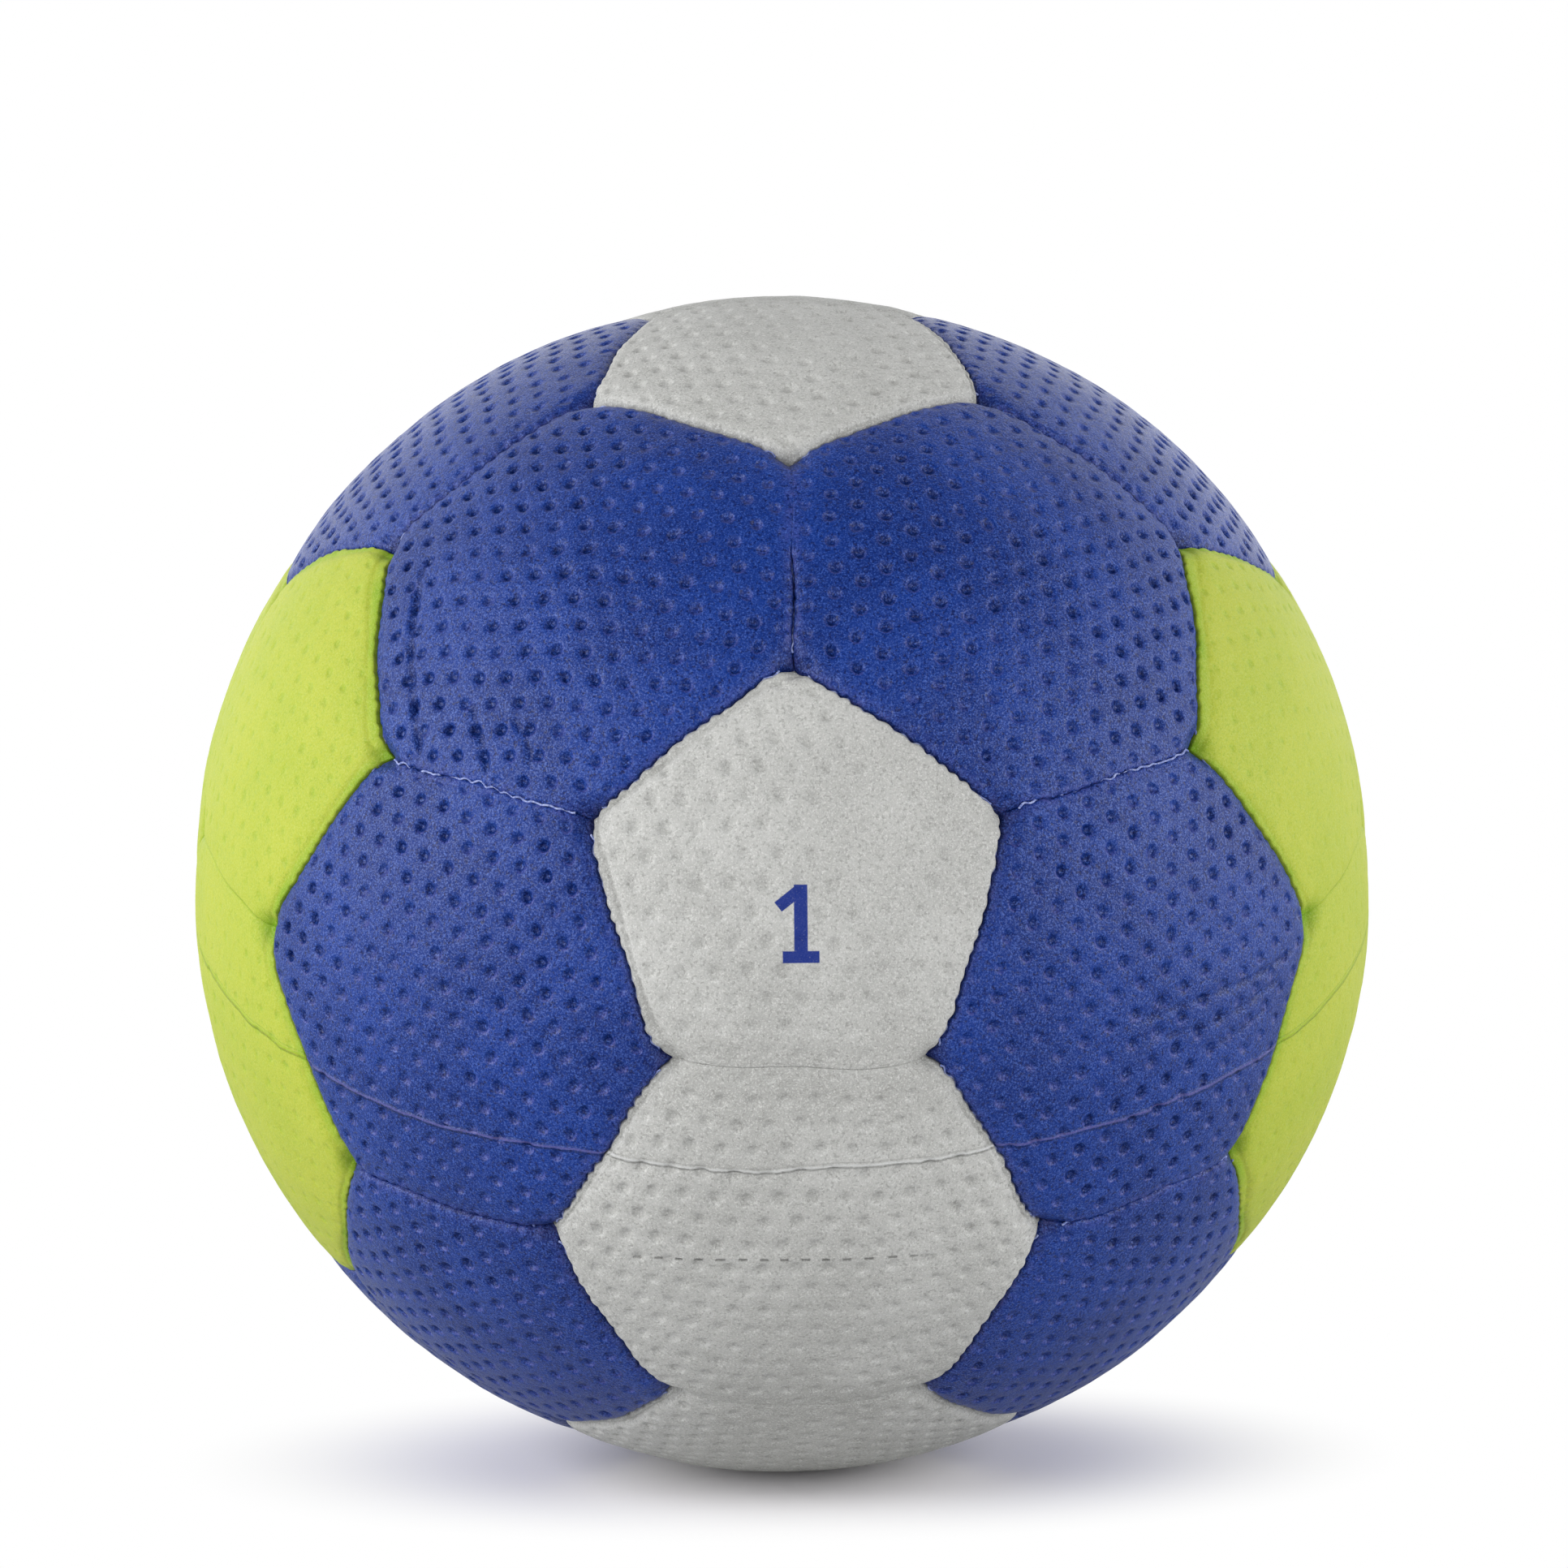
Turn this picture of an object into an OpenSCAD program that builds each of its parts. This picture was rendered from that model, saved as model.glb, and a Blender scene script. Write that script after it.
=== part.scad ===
// Hand-stitched handball: thirty-two padded panels round an inflated bladder.
// The centre of the ball is the origin, +Z is up and -Y is the front.

/* [Ball] */
// Radius of the ball over the crown of a panel
ball_r = 81.15; // [77:0.05:95]
// Height of a hexagon's crown over the middle of its edges
crown_rise = 0.4; // [0.15:0.05:0.9]
// Angle in degrees that the front pentagon is tipped up from level
front_tilt = 6.5; // [2:0.5:9]
// Depth of the flat that the ball's weight presses where it stands
flat_depth = 0.2; // [0.1:0.05:0.6]

/* [Cover] */
// Thickness of the cover skin
skin_t = 1.3; // [0.8:0.1:1.7]
// Radius that a panel's edge is rolled to where it turns into the seam
edge_r = 2.4; // [1.6:0.1:3.2]
// Gap between the turned-in edges of two panels
seam_gap = 0.1; // [0.04:0.02:0.3]
// Radius of the stitching thread
thread_r = 0.3; // [0.15:0.05:0.6]

/* [Padding] */
// Thickness of a foam pad at its middle
foam_t = 3; // [1.5:0.1:5]
// Thickness of the cloth lining
lining_t = 1; // [0.4:0.1:2]
// Gap that the glue film fills between two layers
glue_gap = 0.15; // [0.05:0.05:0.4]

/* [Bladder] */
// Thickness of the bladder wall
bladder_t = 1.2; // [0.5:0.1:2]
// Radius of the patch that stiffens the bladder round the valve
patch_r = 15; // [12:0.5:22]
// Thickness of that patch
patch_t = 0.7; // [0.4:0.1:1.5]

/* [Valve] */
// Radius of the hole in the cover
valve_hole_r = 4.5; // [4:0.1:6]
// Gap between the valve's neck and each hole that it passes
neck_gap = 0.15; // [0.05:0.05:0.4]
// Depth of the neck's end below the crown of the panel
neck_sink = 0.5; // [0.2:0.1:1]
// Radius of the flange that is bonded under the patch
flange_r = 11; // [8:0.5:14]
// Thickness of the flange
flange_t = 1.6; // [1:0.1:3]
// Length of the valve's tube inside the flange
tube_len = 7; // [5:0.5:12]
// Thickness of the wall that closes the tube's inner end
tube_end_t = 1; // [0.6:0.1:2]
// Radius of the air hole in that wall
air_hole_r = 1.6; // [1:0.1:2]
// Radius of the valve insert
insert_r = 2.7; // [2.2:0.1:3]
// Height of the ring round the insert that keeps it in its seat
ring_h = 0.4; // [0.2:0.1:0.7]
// Length of that ring
ring_len = 1.6; // [1:0.1:3]
// Gap between the insert and its seat
insert_gap = 0.05; // [0.02:0.01:0.1]
// Radius of the hole for an inflating needle
needle_r = 1; // [0.8:0.05:1.2]
// Thickness of the slit wall that closes the needle hole
slit_t = 2; // [1:0.5:3]
// Radius of the mouth that leads a needle in
mouth_r = 1.8; // [1.4:0.1:2.1]
// Depth of that mouth
mouth_depth = 1.2; // [0.6:0.1:2]

/* [Hidden] */
$fn = 120;
// Overrun of a cut past the face that it opens
overrun = 2;
// Depth that a rolled edge's arc is set into the face it meets, so that the two cross
arc_bite = 0.08;
// Clearance round the thread in its groove
thread_gap = 0.05;

// The pentagons point along the corners of an icosahedron, the hexagons through its faces
corner_angle = atan(2);
near_angle = acos(sqrt((5 + 2 * sqrt(5)) / 15));
side_angle = acos(sqrt((5 - 2 * sqrt(5)) / 15));
hexagon_reach = acos(sqrt(5) / 3) / 2;
pentagon_reach = near_angle - hexagon_reach;
half_edge_angle = asin(2 / sqrt(58 + 18 * sqrt(5)));
function reach(sides) = sides == 5 ? pentagon_reach : hexagon_reach;

// Each panel's face is part of a sphere of radius dome_r whose centre lies dome_shift out
dome_shift = (pow(ball_r, 2) - pow(ball_r - crown_rise, 2))
    / (2 * (ball_r - (ball_r - crown_rise) * cos(hexagon_reach)));
dome_r = ball_r - dome_shift;
function dome_level(angle) =
    dome_shift * cos(angle) + sqrt(pow(dome_r, 2) - pow(dome_shift * sin(angle), 2));

// Levels of the layers under the skin, from the ball's centre
foam_in_r = ball_r - skin_t - glue_gap - foam_t;
lining_out_r = foam_in_r - glue_gap;
lining_in_r = lining_out_r - lining_t;
bladder_out_r = lining_in_r - glue_gap;
bladder_in_r = bladder_out_r - bladder_t;
patch_out_r = bladder_in_r - glue_gap;
flange_out_r = patch_out_r - patch_t - glue_gap;

// Insets from the middle of a seam: the skin's outer side, its inner side and the padding
skin_inset = seam_gap / 2;
tray_inset = skin_inset + skin_t;
pad_inset = tray_inset + glue_gap;

// The arc of a rolled edge, as the distance of its centre from the ball's and from the seam
arc_inset = skin_inset + edge_r - arc_bite;
function shoulder_r(sides) =
    sqrt(pow(dome_level(reach(sides) - asin(arc_inset / ball_r)), 2) - pow(arc_inset, 2));
function arc_r(sides) = shoulder_r(sides) + 2 * arc_bite - edge_r;
function thread_path_r(sides) = max(arc_r(sides), arc_r(6))
    + sqrt(pow(edge_r + thread_r + thread_gap, 2) - pow(arc_inset, 2));

// The ball stands on the hexagon below its front, where the dome reaches lowest
foot_angle = 90 + front_tilt - side_angle;
floor_level = flat_depth - dome_shift * cos(foot_angle) - dome_r;

// Levels of the valve along its axis
neck_r = valve_hole_r - neck_gap;
neck_top = ball_r - neck_sink;
tube_bottom = flange_out_r - flange_t - tube_len;
insert_bottom = tube_bottom + tube_end_t + insert_gap;
needle_bottom = insert_bottom + slit_t;
ring_bottom = needle_bottom;

// Colours
grey = [0.72, 0.72, 0.7];
blue = [0.24, 0.34, 0.62];
lime = [0.78, 0.85, 0.38];
black = [0.12, 0.12, 0.13];

// A panel's row holds its name, its number of sides, the angle of its middle from the
// front pentagon, the angle clockwise from the top, its spin and its colour
function panel_ring(stem, sides, angle, first, spin, tints) = [for (i = [0:4])
    [str(stem, "_", i + 1), sides, angle, first + i * 72, spin, tints[i]]];
PANELS = concat(
    [["front_pentagon", 5, 0, 0, 0, grey]],
    panel_ring("front_ring_pentagon", 5, corner_angle, 0, 180, [grey, lime, blue, blue, lime]),
    panel_ring("back_ring_pentagon", 5, 180 - corner_angle, 36, 0, [blue, lime, grey, lime, blue]),
    [["back_pentagon", 5, 180, 0, 0, grey]],
    panel_ring("front_hexagon", 6, near_angle, 36, 0, [blue, blue, grey, blue, blue]),
    panel_ring("front_side_hexagon", 6, side_angle, 36, 0, [blue, lime, grey, lime, blue]),
    panel_ring("back_side_hexagon", 6, 180 - side_angle, 0, 0, [grey, lime, blue, blue, lime]),
    panel_ring("back_hexagon", 6, 180 - near_angle, 0, 0, [grey, blue, blue, blue, blue]));
FOOT_PANELS = ["front_side_hexagon_3", "back_ring_pentagon_3"];

// Turns a frame whose Z axis is the front pentagon's into the ball's own
module as_it_stands() rotate([90 - front_tilt, 0, 0]) children();

// Takes a shape made round the Z axis to the place of one panel
module at_panel(panel) as_it_stands()
    rotate([-panel[2], 0, -panel[3]]) rotate([0, 0, panel[4]]) children();

// Takes a shape made with its Y axis square to a seam, facing in, to each edge of a panel
module at_edges(sides) for (i = [0:sides - 1])
    rotate([0, 0, i * 360 / sides]) rotate([reach(sides), 0, 0]) children();

// The space inside a panel's seams, drawn in from the middle of each seam
module inside_seams(sides, inset) intersection_for (i = [0:sides - 1])
    rotate([0, 0, i * 360 / sides]) rotate([reach(sides), 0, 0])
        translate([-ball_r, inset, 0]) cube([2 * ball_r, ball_r, 2 * ball_r]);

// The dome of a panel, drawn in by a depth
module dome(depth) translate([0, 0, dome_shift]) sphere(dome_r - depth);

// Takes a profile drawn in a seam's plane round the ball's centre, along the middle of an edge
module along_edge(angle) rotate([-90, 0, 0]) rotate([0, 0, -90 - angle / 2])
    rotate_extrude(angle = angle) children();

// What is taken off along a seam to roll a panel's edge, run on past both of its corners
module edge_cut(sides) along_edge(2 * half_edge_angle + 2 * asin((arc_inset + overrun) / ball_r))
    difference() {
        translate([arc_r(sides), -overrun]) square([edge_r + overrun, arc_inset + overrun]);
        translate([arc_r(sides), arc_inset]) circle(edge_r);
    }

// The hole that the valve's neck passes
module valve_hole() cylinder(h = ball_r + overrun, r = valve_hole_r);

// The cover skin of one panel: a shallow tray whose sides turn into the seams
module cover_panel(panel) {
    sides = panel[1];
    color(panel[5]) difference() {
        at_panel(panel) difference() {
            intersection() {
                dome(0);
                inside_seams(sides, skin_inset);
            }
            at_edges(sides) edge_cut(sides);
            intersection() {
                dome(skin_t);
                inside_seams(sides, tray_inset);
            }
            sphere(lining_in_r);
            if (panel[0] == "back_pentagon") valve_hole();
        }
        for (name = FOOT_PANELS) if (panel[0] == name) below_floor();
    }
}

// The space under the flat that the ball stands on
module below_floor() translate([-ball_r, -ball_r, floor_level - ball_r])
    cube([2 * ball_r, 2 * ball_r, ball_r]);

// The foam pads that lie in the trays of all panels with this number of sides
module foam_pads(sides) for (panel = PANELS) if (panel[1] == sides)
    color([0.9, 0.88, 0.8]) at_panel(panel) difference() {
        intersection() {
            dome(skin_t + glue_gap);
            inside_seams(sides, pad_inset);
        }
        sphere(foam_in_r);
        if (panel[0] == "back_pentagon") valve_hole();
    }

// The cloth linings that are glued under those pads
module linings(sides) for (panel = PANELS) if (panel[1] == sides)
    color([0.93, 0.93, 0.9]) at_panel(panel) difference() {
        intersection() {
            sphere(lining_out_r);
            inside_seams(sides, pad_inset);
        }
        sphere(lining_in_r);
        if (panel[0] == "back_pentagon") valve_hole();
    }

// One run of thread in the groove of a seam, from corner to corner
module thread_run(sides) color([0.5, 0.62, 0.85])
    along_edge(2 * half_edge_angle - 2 * asin(2 * thread_r / thread_path_r(sides)))
        translate([thread_path_r(sides), 0]) circle(thread_r);

// The thread round every pentagon
module pentagon_seam_thread() for (panel = PANELS) if (panel[1] == 5)
    at_panel(panel) at_edges(5) thread_run(5);

// The thread between hexagons, one run from each pentagon to each of its later neighbours
function aim(panel) = [sin(panel[2]) * sin(panel[3]), sin(panel[2]) * cos(panel[3]), cos(panel[2])];
function unit(v) = v / norm(v);
AIMS = [for (panel = PANELS) if (panel[1] == 5) aim(panel)];
module hexagon_seam_thread() as_it_stands()
    for (i = [0:10], j = [i + 1:11]) if (AIMS[i] * AIMS[j] > cos(corner_angle) / 2) {
        out = unit(AIMS[i] + AIMS[j]);
        along = unit(AIMS[j] - AIMS[i]);
        across = cross(out, along);
        multmatrix([for (k = [0:2]) [along[k], across[k], out[k], 0]]) thread_run(6);
    }

// The frame of the valve: its Z axis is the back pentagon's
module at_valve() as_it_stands() rotate([180, 0, 0]) children();

// The bladder, a rubber ball with a hole for the valve
module bladder() color(black) at_valve() difference() {
    sphere(bladder_out_r);
    sphere(bladder_in_r);
    valve_hole();
}

// A round piece that follows the inside of the bladder, between two levels
module curved_disc(radius, out_r, thickness) difference() {
    intersection() {
        sphere(out_r);
        cylinder(h = ball_r, r = radius);
    }
    sphere(out_r - thickness);
}

// The patch that stiffens the bladder round the valve
module valve_patch() color([0.3, 0.3, 0.32]) at_valve() difference() {
    curved_disc(patch_r, patch_out_r, patch_t);
    valve_hole();
}

// The valve body: a neck and a tube with a flange between them, bored for the insert
module valve_body() color([0.2, 0.2, 0.22]) at_valve() difference() {
    union() {
        translate([0, 0, tube_bottom]) cylinder(h = neck_top - tube_bottom, r = neck_r);
        curved_disc(flange_r, flange_out_r, flange_t);
    }
    translate([0, 0, tube_bottom + tube_end_t])
        cylinder(h = neck_top - tube_bottom, r = insert_r + insert_gap);
    translate([0, 0, ring_bottom - insert_gap])
        cylinder(h = ring_len + 2 * insert_gap, r = insert_r + ring_h + insert_gap);
    translate([0, 0, tube_bottom - overrun]) cylinder(h = tube_end_t + 2 * overrun, r = air_hole_r);
}

// The insert: a rubber plug with a needle hole that a slit wall closes at its inner end
module valve_insert() color([0.75, 0.75, 0.73]) at_valve() difference() {
    union() {
        translate([0, 0, insert_bottom]) cylinder(h = neck_top - insert_bottom, r = insert_r);
        translate([0, 0, ring_bottom]) cylinder(h = ring_len, r = insert_r + ring_h);
    }
    translate([0, 0, needle_bottom]) cylinder(h = neck_top - needle_bottom + overrun, r = needle_r);
    translate([0, 0, neck_top - mouth_depth]) cylinder(h = mouth_depth, r1 = needle_r, r2 = mouth_r);
}

for (panel = PANELS) cover_panel(panel);
foam_pads(5);  // pentagon_foam_pads
foam_pads(6);  // hexagon_foam_pads
linings(5);  // pentagon_linings
linings(6);  // hexagon_linings
pentagon_seam_thread();
hexagon_seam_thread();
bladder();
valve_patch();
valve_body();
valve_insert();
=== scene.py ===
"""Looks of a hand-stitched handball: padded panels of dimpled suede-like skin round a bladder.

All lengths in the shape functions are millimetres from the ball's centre, and make_piece turns
them into metres. Angles are radians unless a name says degrees. In the finishes, noise is given
in cells per metre and the height of a bump in metres.
"""
from collections import namedtuple
from functools import reduce
from math import acos, asin, atan, cos, pi, radians, sin, sqrt, tan
from types import SimpleNamespace

import bpy
import numpy as np
from mathutils import Matrix


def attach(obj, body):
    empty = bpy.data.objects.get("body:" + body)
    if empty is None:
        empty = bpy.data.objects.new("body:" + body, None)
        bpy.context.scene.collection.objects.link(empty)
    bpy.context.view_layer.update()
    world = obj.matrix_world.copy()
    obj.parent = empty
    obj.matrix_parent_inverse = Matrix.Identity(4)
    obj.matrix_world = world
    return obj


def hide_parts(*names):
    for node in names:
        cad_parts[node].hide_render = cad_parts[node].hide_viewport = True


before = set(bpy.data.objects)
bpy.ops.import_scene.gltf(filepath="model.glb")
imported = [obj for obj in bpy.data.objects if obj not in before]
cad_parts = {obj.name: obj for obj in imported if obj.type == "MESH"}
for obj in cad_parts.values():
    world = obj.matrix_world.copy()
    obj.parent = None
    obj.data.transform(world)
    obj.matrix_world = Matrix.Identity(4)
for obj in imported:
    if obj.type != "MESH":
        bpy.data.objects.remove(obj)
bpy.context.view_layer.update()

MM = 0.001

# The ball, as the solids have it
BALL_R = 81.15
CROWN_RISE = 0.4
FRONT_TILT = radians(6.5)
FLOOR_LEVEL = -80.6933
SKIN_T = 1.3
GLUE_GAP = 0.15
FOAM_IN = 76.7
LINING_OUT = 76.55
LINING_IN = 75.55
BLADDER_OUT = 75.4
BLADDER_IN = 74.2
PAD_INSET = 1.5
VALVE_HOLE_R = 4.5
HOLED_PANEL = "back_pentagon"

# Angles of the pattern: pentagons sit on the corners of an icosahedron, hexagons on its faces
CORNER_ANGLE = atan(2)
NEAR_ANGLE = acos(sqrt((5 + 2 * sqrt(5)) / 15))
SIDE_ANGLE = acos(sqrt((5 - 2 * sqrt(5)) / 15))
HEXAGON_REACH = acos(sqrt(5) / 3) / 2
HALF_EDGE = asin(2 / sqrt(58 + 18 * sqrt(5)))
REACH = {5: NEAR_ANGLE - HEXAGON_REACH, 6: HEXAGON_REACH}

# A panel's face is part of a sphere of radius DOME_R whose centre lies DOME_SHIFT out
EDGE_LEVEL = BALL_R - CROWN_RISE
DOME_SHIFT = (BALL_R**2 - EDGE_LEVEL**2) / (2 * (BALL_R - EDGE_LEVEL * cos(HEXAGON_REACH)))
DOME_R = BALL_R - DOME_SHIFT

# Grid of a panel: steps from its middle to a seam, and how much finer they get at the seam
STEPS = {5: 58, 6: 68}
PAD_STEPS = 5
EDGE_FINENESS = 0.12
EDGE_POWER = 7
HOLE_FINENESS = 0.15

# Stitching, with lengths in mm. The thread lies a little raised and sinks here and there, by a
# soft noise of this size and seed
STITCH_PITCH = 2.1
THREAD_R = 0.15
THREAD_SIDES = 6
THREAD_SAMPLES = 6
THREAD_SHORT = 2.0
THREAD_ZIGZAG = 0.15
THREAD_DIP = 0.13
THREAD_RISE = 0.12
THREAD_SINK = 0.7
SINK_PATTERN = (2.6, 21)


def turn_x(angle):
    """Turns by an angle round the X axis, counter-clockwise seen from its tip."""
    c, s = cos(angle), sin(angle)
    return np.array([[1, 0, 0], [0, c, -s], [0, s, c]])


def turn_z(angle):
    """Turns by an angle round the Z axis, counter-clockwise seen from its tip."""
    c, s = cos(angle), sin(angle)
    return np.array([[c, -s, 0], [s, c, 0], [0, 0, 1]])


AS_IT_STANDS = turn_x(pi / 2 - FRONT_TILT)
Panel = namedtuple("Panel", "name sides azimuth tint place")


def panel_at(name, sides, angle, azimuth, spin, tint):
    """A panel with the turn that takes it from the Z axis to its place on the ball."""
    place = AS_IT_STANDS @ turn_z(-azimuth) @ turn_x(-angle) @ turn_z(spin)
    return Panel(name, sides, azimuth, tint, place)


def ring(stem, sides, angle, first, spin, tints):
    """Five panels round the front pentagon's axis, 72 degrees apart, clockwise from the top."""
    return [
        panel_at(f"{stem}_{i + 1}", sides, angle, radians(first + 72 * i), spin, tint)
        for i, tint in enumerate(tints.split())
    ]


PANELS = (
    [panel_at("front_pentagon", 5, 0.0, 0.0, 0.0, "grey")]
    + ring("front_ring_pentagon", 5, CORNER_ANGLE, 0, pi, "grey lime blue blue lime")
    + ring("back_ring_pentagon", 5, pi - CORNER_ANGLE, 36, 0, "blue lime grey lime blue")
    + [panel_at(HOLED_PANEL, 5, pi, 0.0, 0.0, "grey")]
    + ring("front_hexagon", 6, NEAR_ANGLE, 36, 0, "blue blue grey blue blue")
    + ring("front_side_hexagon", 6, SIDE_ANGLE, 36, 0, "blue lime grey lime blue")
    + ring("back_side_hexagon", 6, pi - SIDE_ANGLE, 0, 0, "grey lime blue blue lime")
    + ring("back_hexagon", 6, pi - NEAR_ANGLE, 0, 0, "grey blue blue blue blue")
)

# At a seam, the panel with the higher rank bulges over its neighbour
RANK = {"blue": 1, "grey": 2, "lime": 3}


def unit(v):
    """The same directions with a length of one."""
    return v / np.linalg.norm(v, axis=-1, keepdims=True)


HASH_START = 1469598103934665603
HASH_STEP = 1099511628211
HASH_STIR = 0x9E3779B97F4A7C15


def chance(*numbers):
    """A number from 0 up to 1 for each set of whole numbers, mixed from their bits."""
    with np.errstate(over="ignore"):
        mixed = np.uint64(HASH_START)
        for number in numbers:
            whole = np.asarray(number).astype(np.int64).astype(np.uint64)
            mixed = (mixed ^ whole) * np.uint64(HASH_STEP)
            mixed = mixed ^ (mixed >> np.uint64(29))
            mixed = mixed * np.uint64(HASH_STIR)
            mixed = mixed ^ (mixed >> np.uint64(32))
    return (mixed >> np.uint64(11)).astype(float) / 2.0**53


def eased(share):
    """A share from 0 to 1, made level at both ends."""
    return share * share * (3 - 2 * share)


def soft_noise(points, size, seed):
    """Smooth random levels from -1 to 1: chance levels on a cubic lattice, blended between."""
    scaled = points / size
    low = np.floor(scaled)
    part = eased(scaled - low)
    low = low.astype(np.int64)
    total = np.zeros(len(points))
    for corner in range(8):
        step = np.array([corner & 1, corner >> 1 & 1, corner >> 2 & 1])
        weight = np.prod(np.where(step, part, 1 - part), axis=1)
        at = low + step
        total += weight * chance(at[:, 0], at[:, 1], at[:, 2], np.int64(seed))
    return 2 * total - 1


def varied(points, middle, spread, size, seed):
    """A share that varies softly from place to place, by a spread to both sides of its middle."""
    return middle + spread * soft_noise(points, size, seed)


def dome_level(cosine):
    """Distance of a panel's dome from the ball's centre, from the cosine of the angle to its axis."""
    return DOME_SHIFT * cosine + np.sqrt(DOME_R**2 - DOME_SHIFT**2 * (1 - cosine**2))


# Seams

SAME_PLACE = 1 - 1e-9
Seam = namedtuple("Seam", "first second mid inward run")


def edge_frames(panel):
    """For each edge of a panel its middle, its inward normal and its run, as world directions."""
    frames = []
    for k in range(panel.sides):
        turned = panel.place @ turn_z(2 * pi * k / panel.sides) @ turn_x(REACH[panel.sides])
        frames.append((turned[:, 2], turned[:, 1], turned[:, 0]))
    return frames


def find_seams():
    """Pairs every panel edge with the neighbour's edge that has the same middle.

    Returns the seams, and for each panel's edge its seam's number and 1 or -1 for its side."""
    edges = [
        (i, k, *edge)
        for i, panel in enumerate(PANELS)
        for k, edge in enumerate(edge_frames(panel))
    ]
    seams, seam_of = [], {}
    for a, (i, k, mid, inward, run) in enumerate(edges):
        for j, m, other, *_ in edges[a + 1:]:
            if np.dot(mid, other) > SAME_PLACE:
                seam_of[(i, k)] = (len(seams), 1)
                seam_of[(j, m)] = (len(seams), -1)
                seams.append(Seam(i, j, mid, inward, run))
    return seams, seam_of


SEAMS, SEAM_OF = find_seams()

# How far seams bow off their planes, in mm towards the second panel, at the start, middle and end.
# The others' bows are drawn by chance over this range, and lean to the panel of the lower rank
BOW_RANGE = 1.2
BOW_OF_BULGE = 0.4
BOWS = {
    "front_pentagon": {
        "front_hexagon_2": (1.0, 0.9, 0.5), "front_hexagon_1": (0.0, 0.2, -0.3),
        "front_hexagon_5": (0.8, 0.5, 0.0), "front_hexagon_4": (0.8, 0.9, 1.7),
    },
    "front_ring_pentagon_1": {
        "front_side_hexagon_5": (-0.4, -0.4, -0.8), "front_hexagon_5": (-0.4, 0.4, 0.3),
        "front_hexagon_1": (0.5, 0.1, -0.5), "front_side_hexagon_1": (0.0, 0.8, 1.6),
    },
    "front_ring_pentagon_2": {
        "front_side_hexagon_1": (0.3, -0.6, -0.9), "front_hexagon_1": (0.8, 0.5, 0.1),
        "front_hexagon_2": (0.3, 0.3, 0.5),
    },
    "front_ring_pentagon_3": {
        "front_side_hexagon_2": (2.6, 0.8, -0.5), "front_hexagon_3": (0.5, -0.3, -1.6),
        "front_side_hexagon_3": (-0.7, 0.3, 0.0),
    },
    "front_ring_pentagon_4": {
        "front_side_hexagon_3": (1.5, 1.0, 0.2), "front_hexagon_3": (-0.4, 0.1, 1.0),
        "front_side_hexagon_4": (-1.0, -0.5, -0.1),
    },
    "front_ring_pentagon_5": {
        "front_hexagon_4": (0.0, 0.3, -0.6), "front_hexagon_5": (-0.8, -0.3, 0.1),
        "front_side_hexagon_5": (0.8, 1.9, 1.8),
    },
    "front_hexagon_2": {
        "front_hexagon_3": (-1.1, -0.3, 1.4), "front_side_hexagon_2": (-0.9, -1.8, -0.8),
    },
    "front_hexagon_3": {"front_hexagon_4": (0.9, 0.0, -0.5)},
    "front_hexagon_4": {"front_side_hexagon_4": (0.6, -1.3, -1.5)},
}

# Seams where the first panel's folded flange shows, with its width in mm
SHOWN_FLANGES = {
    ("front_pentagon", "front_hexagon_5"): 1.15,
    ("front_pentagon", "front_hexagon_4"): 1.3,
    ("front_pentagon", "front_hexagon_2"): 0.1,
    ("front_pentagon", "front_hexagon_1"): 0.1,
    ("front_ring_pentagon_5", "front_hexagon_5"): 1.2,
    ("front_ring_pentagon_2", "front_hexagon_1"): 1.2,
}

# How deep the thread lies in a seam, in mm: under a bulging panel, between two that meet level,
# and in the seams where it lies bare
COVERED_THREAD = 1.5
LEVEL_THREAD = 1.3
BARE_THREADS = {
    ("front_hexagon_4", "front_hexagon_5"): 0.55,
    ("front_hexagon_1", "front_hexagon_2"): 0.55,
    ("front_ring_pentagon_3", "front_hexagon_2"): 0.85,
    ("back_hexagon_2", "back_hexagon_3"): 0.55,
    ("back_hexagon_4", "back_hexagon_5"): 0.55,
}

# Seams pressed shut over the half that lies away from the front: how far open that half stays,
# and where the change starts and how long it is, in mm
PRESSED_SEAMS = [("front_hexagon_1", "front_hexagon_5")]
PRESSED_OPENING = 0.12
PRESSED_START = 1.5
PRESSED_SPAN = 4.0

# How one panel is drawn in at a seam: depths of its shoulder, lip and puckers, the widths of its
# shoulder and of the flange beside the seam, and how far the flange swells, in mm
Side = namedtuple("Side", "shoulder width lip flange pucker bead", defaults=[0.0])
SEAM_SEED = 77


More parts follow.
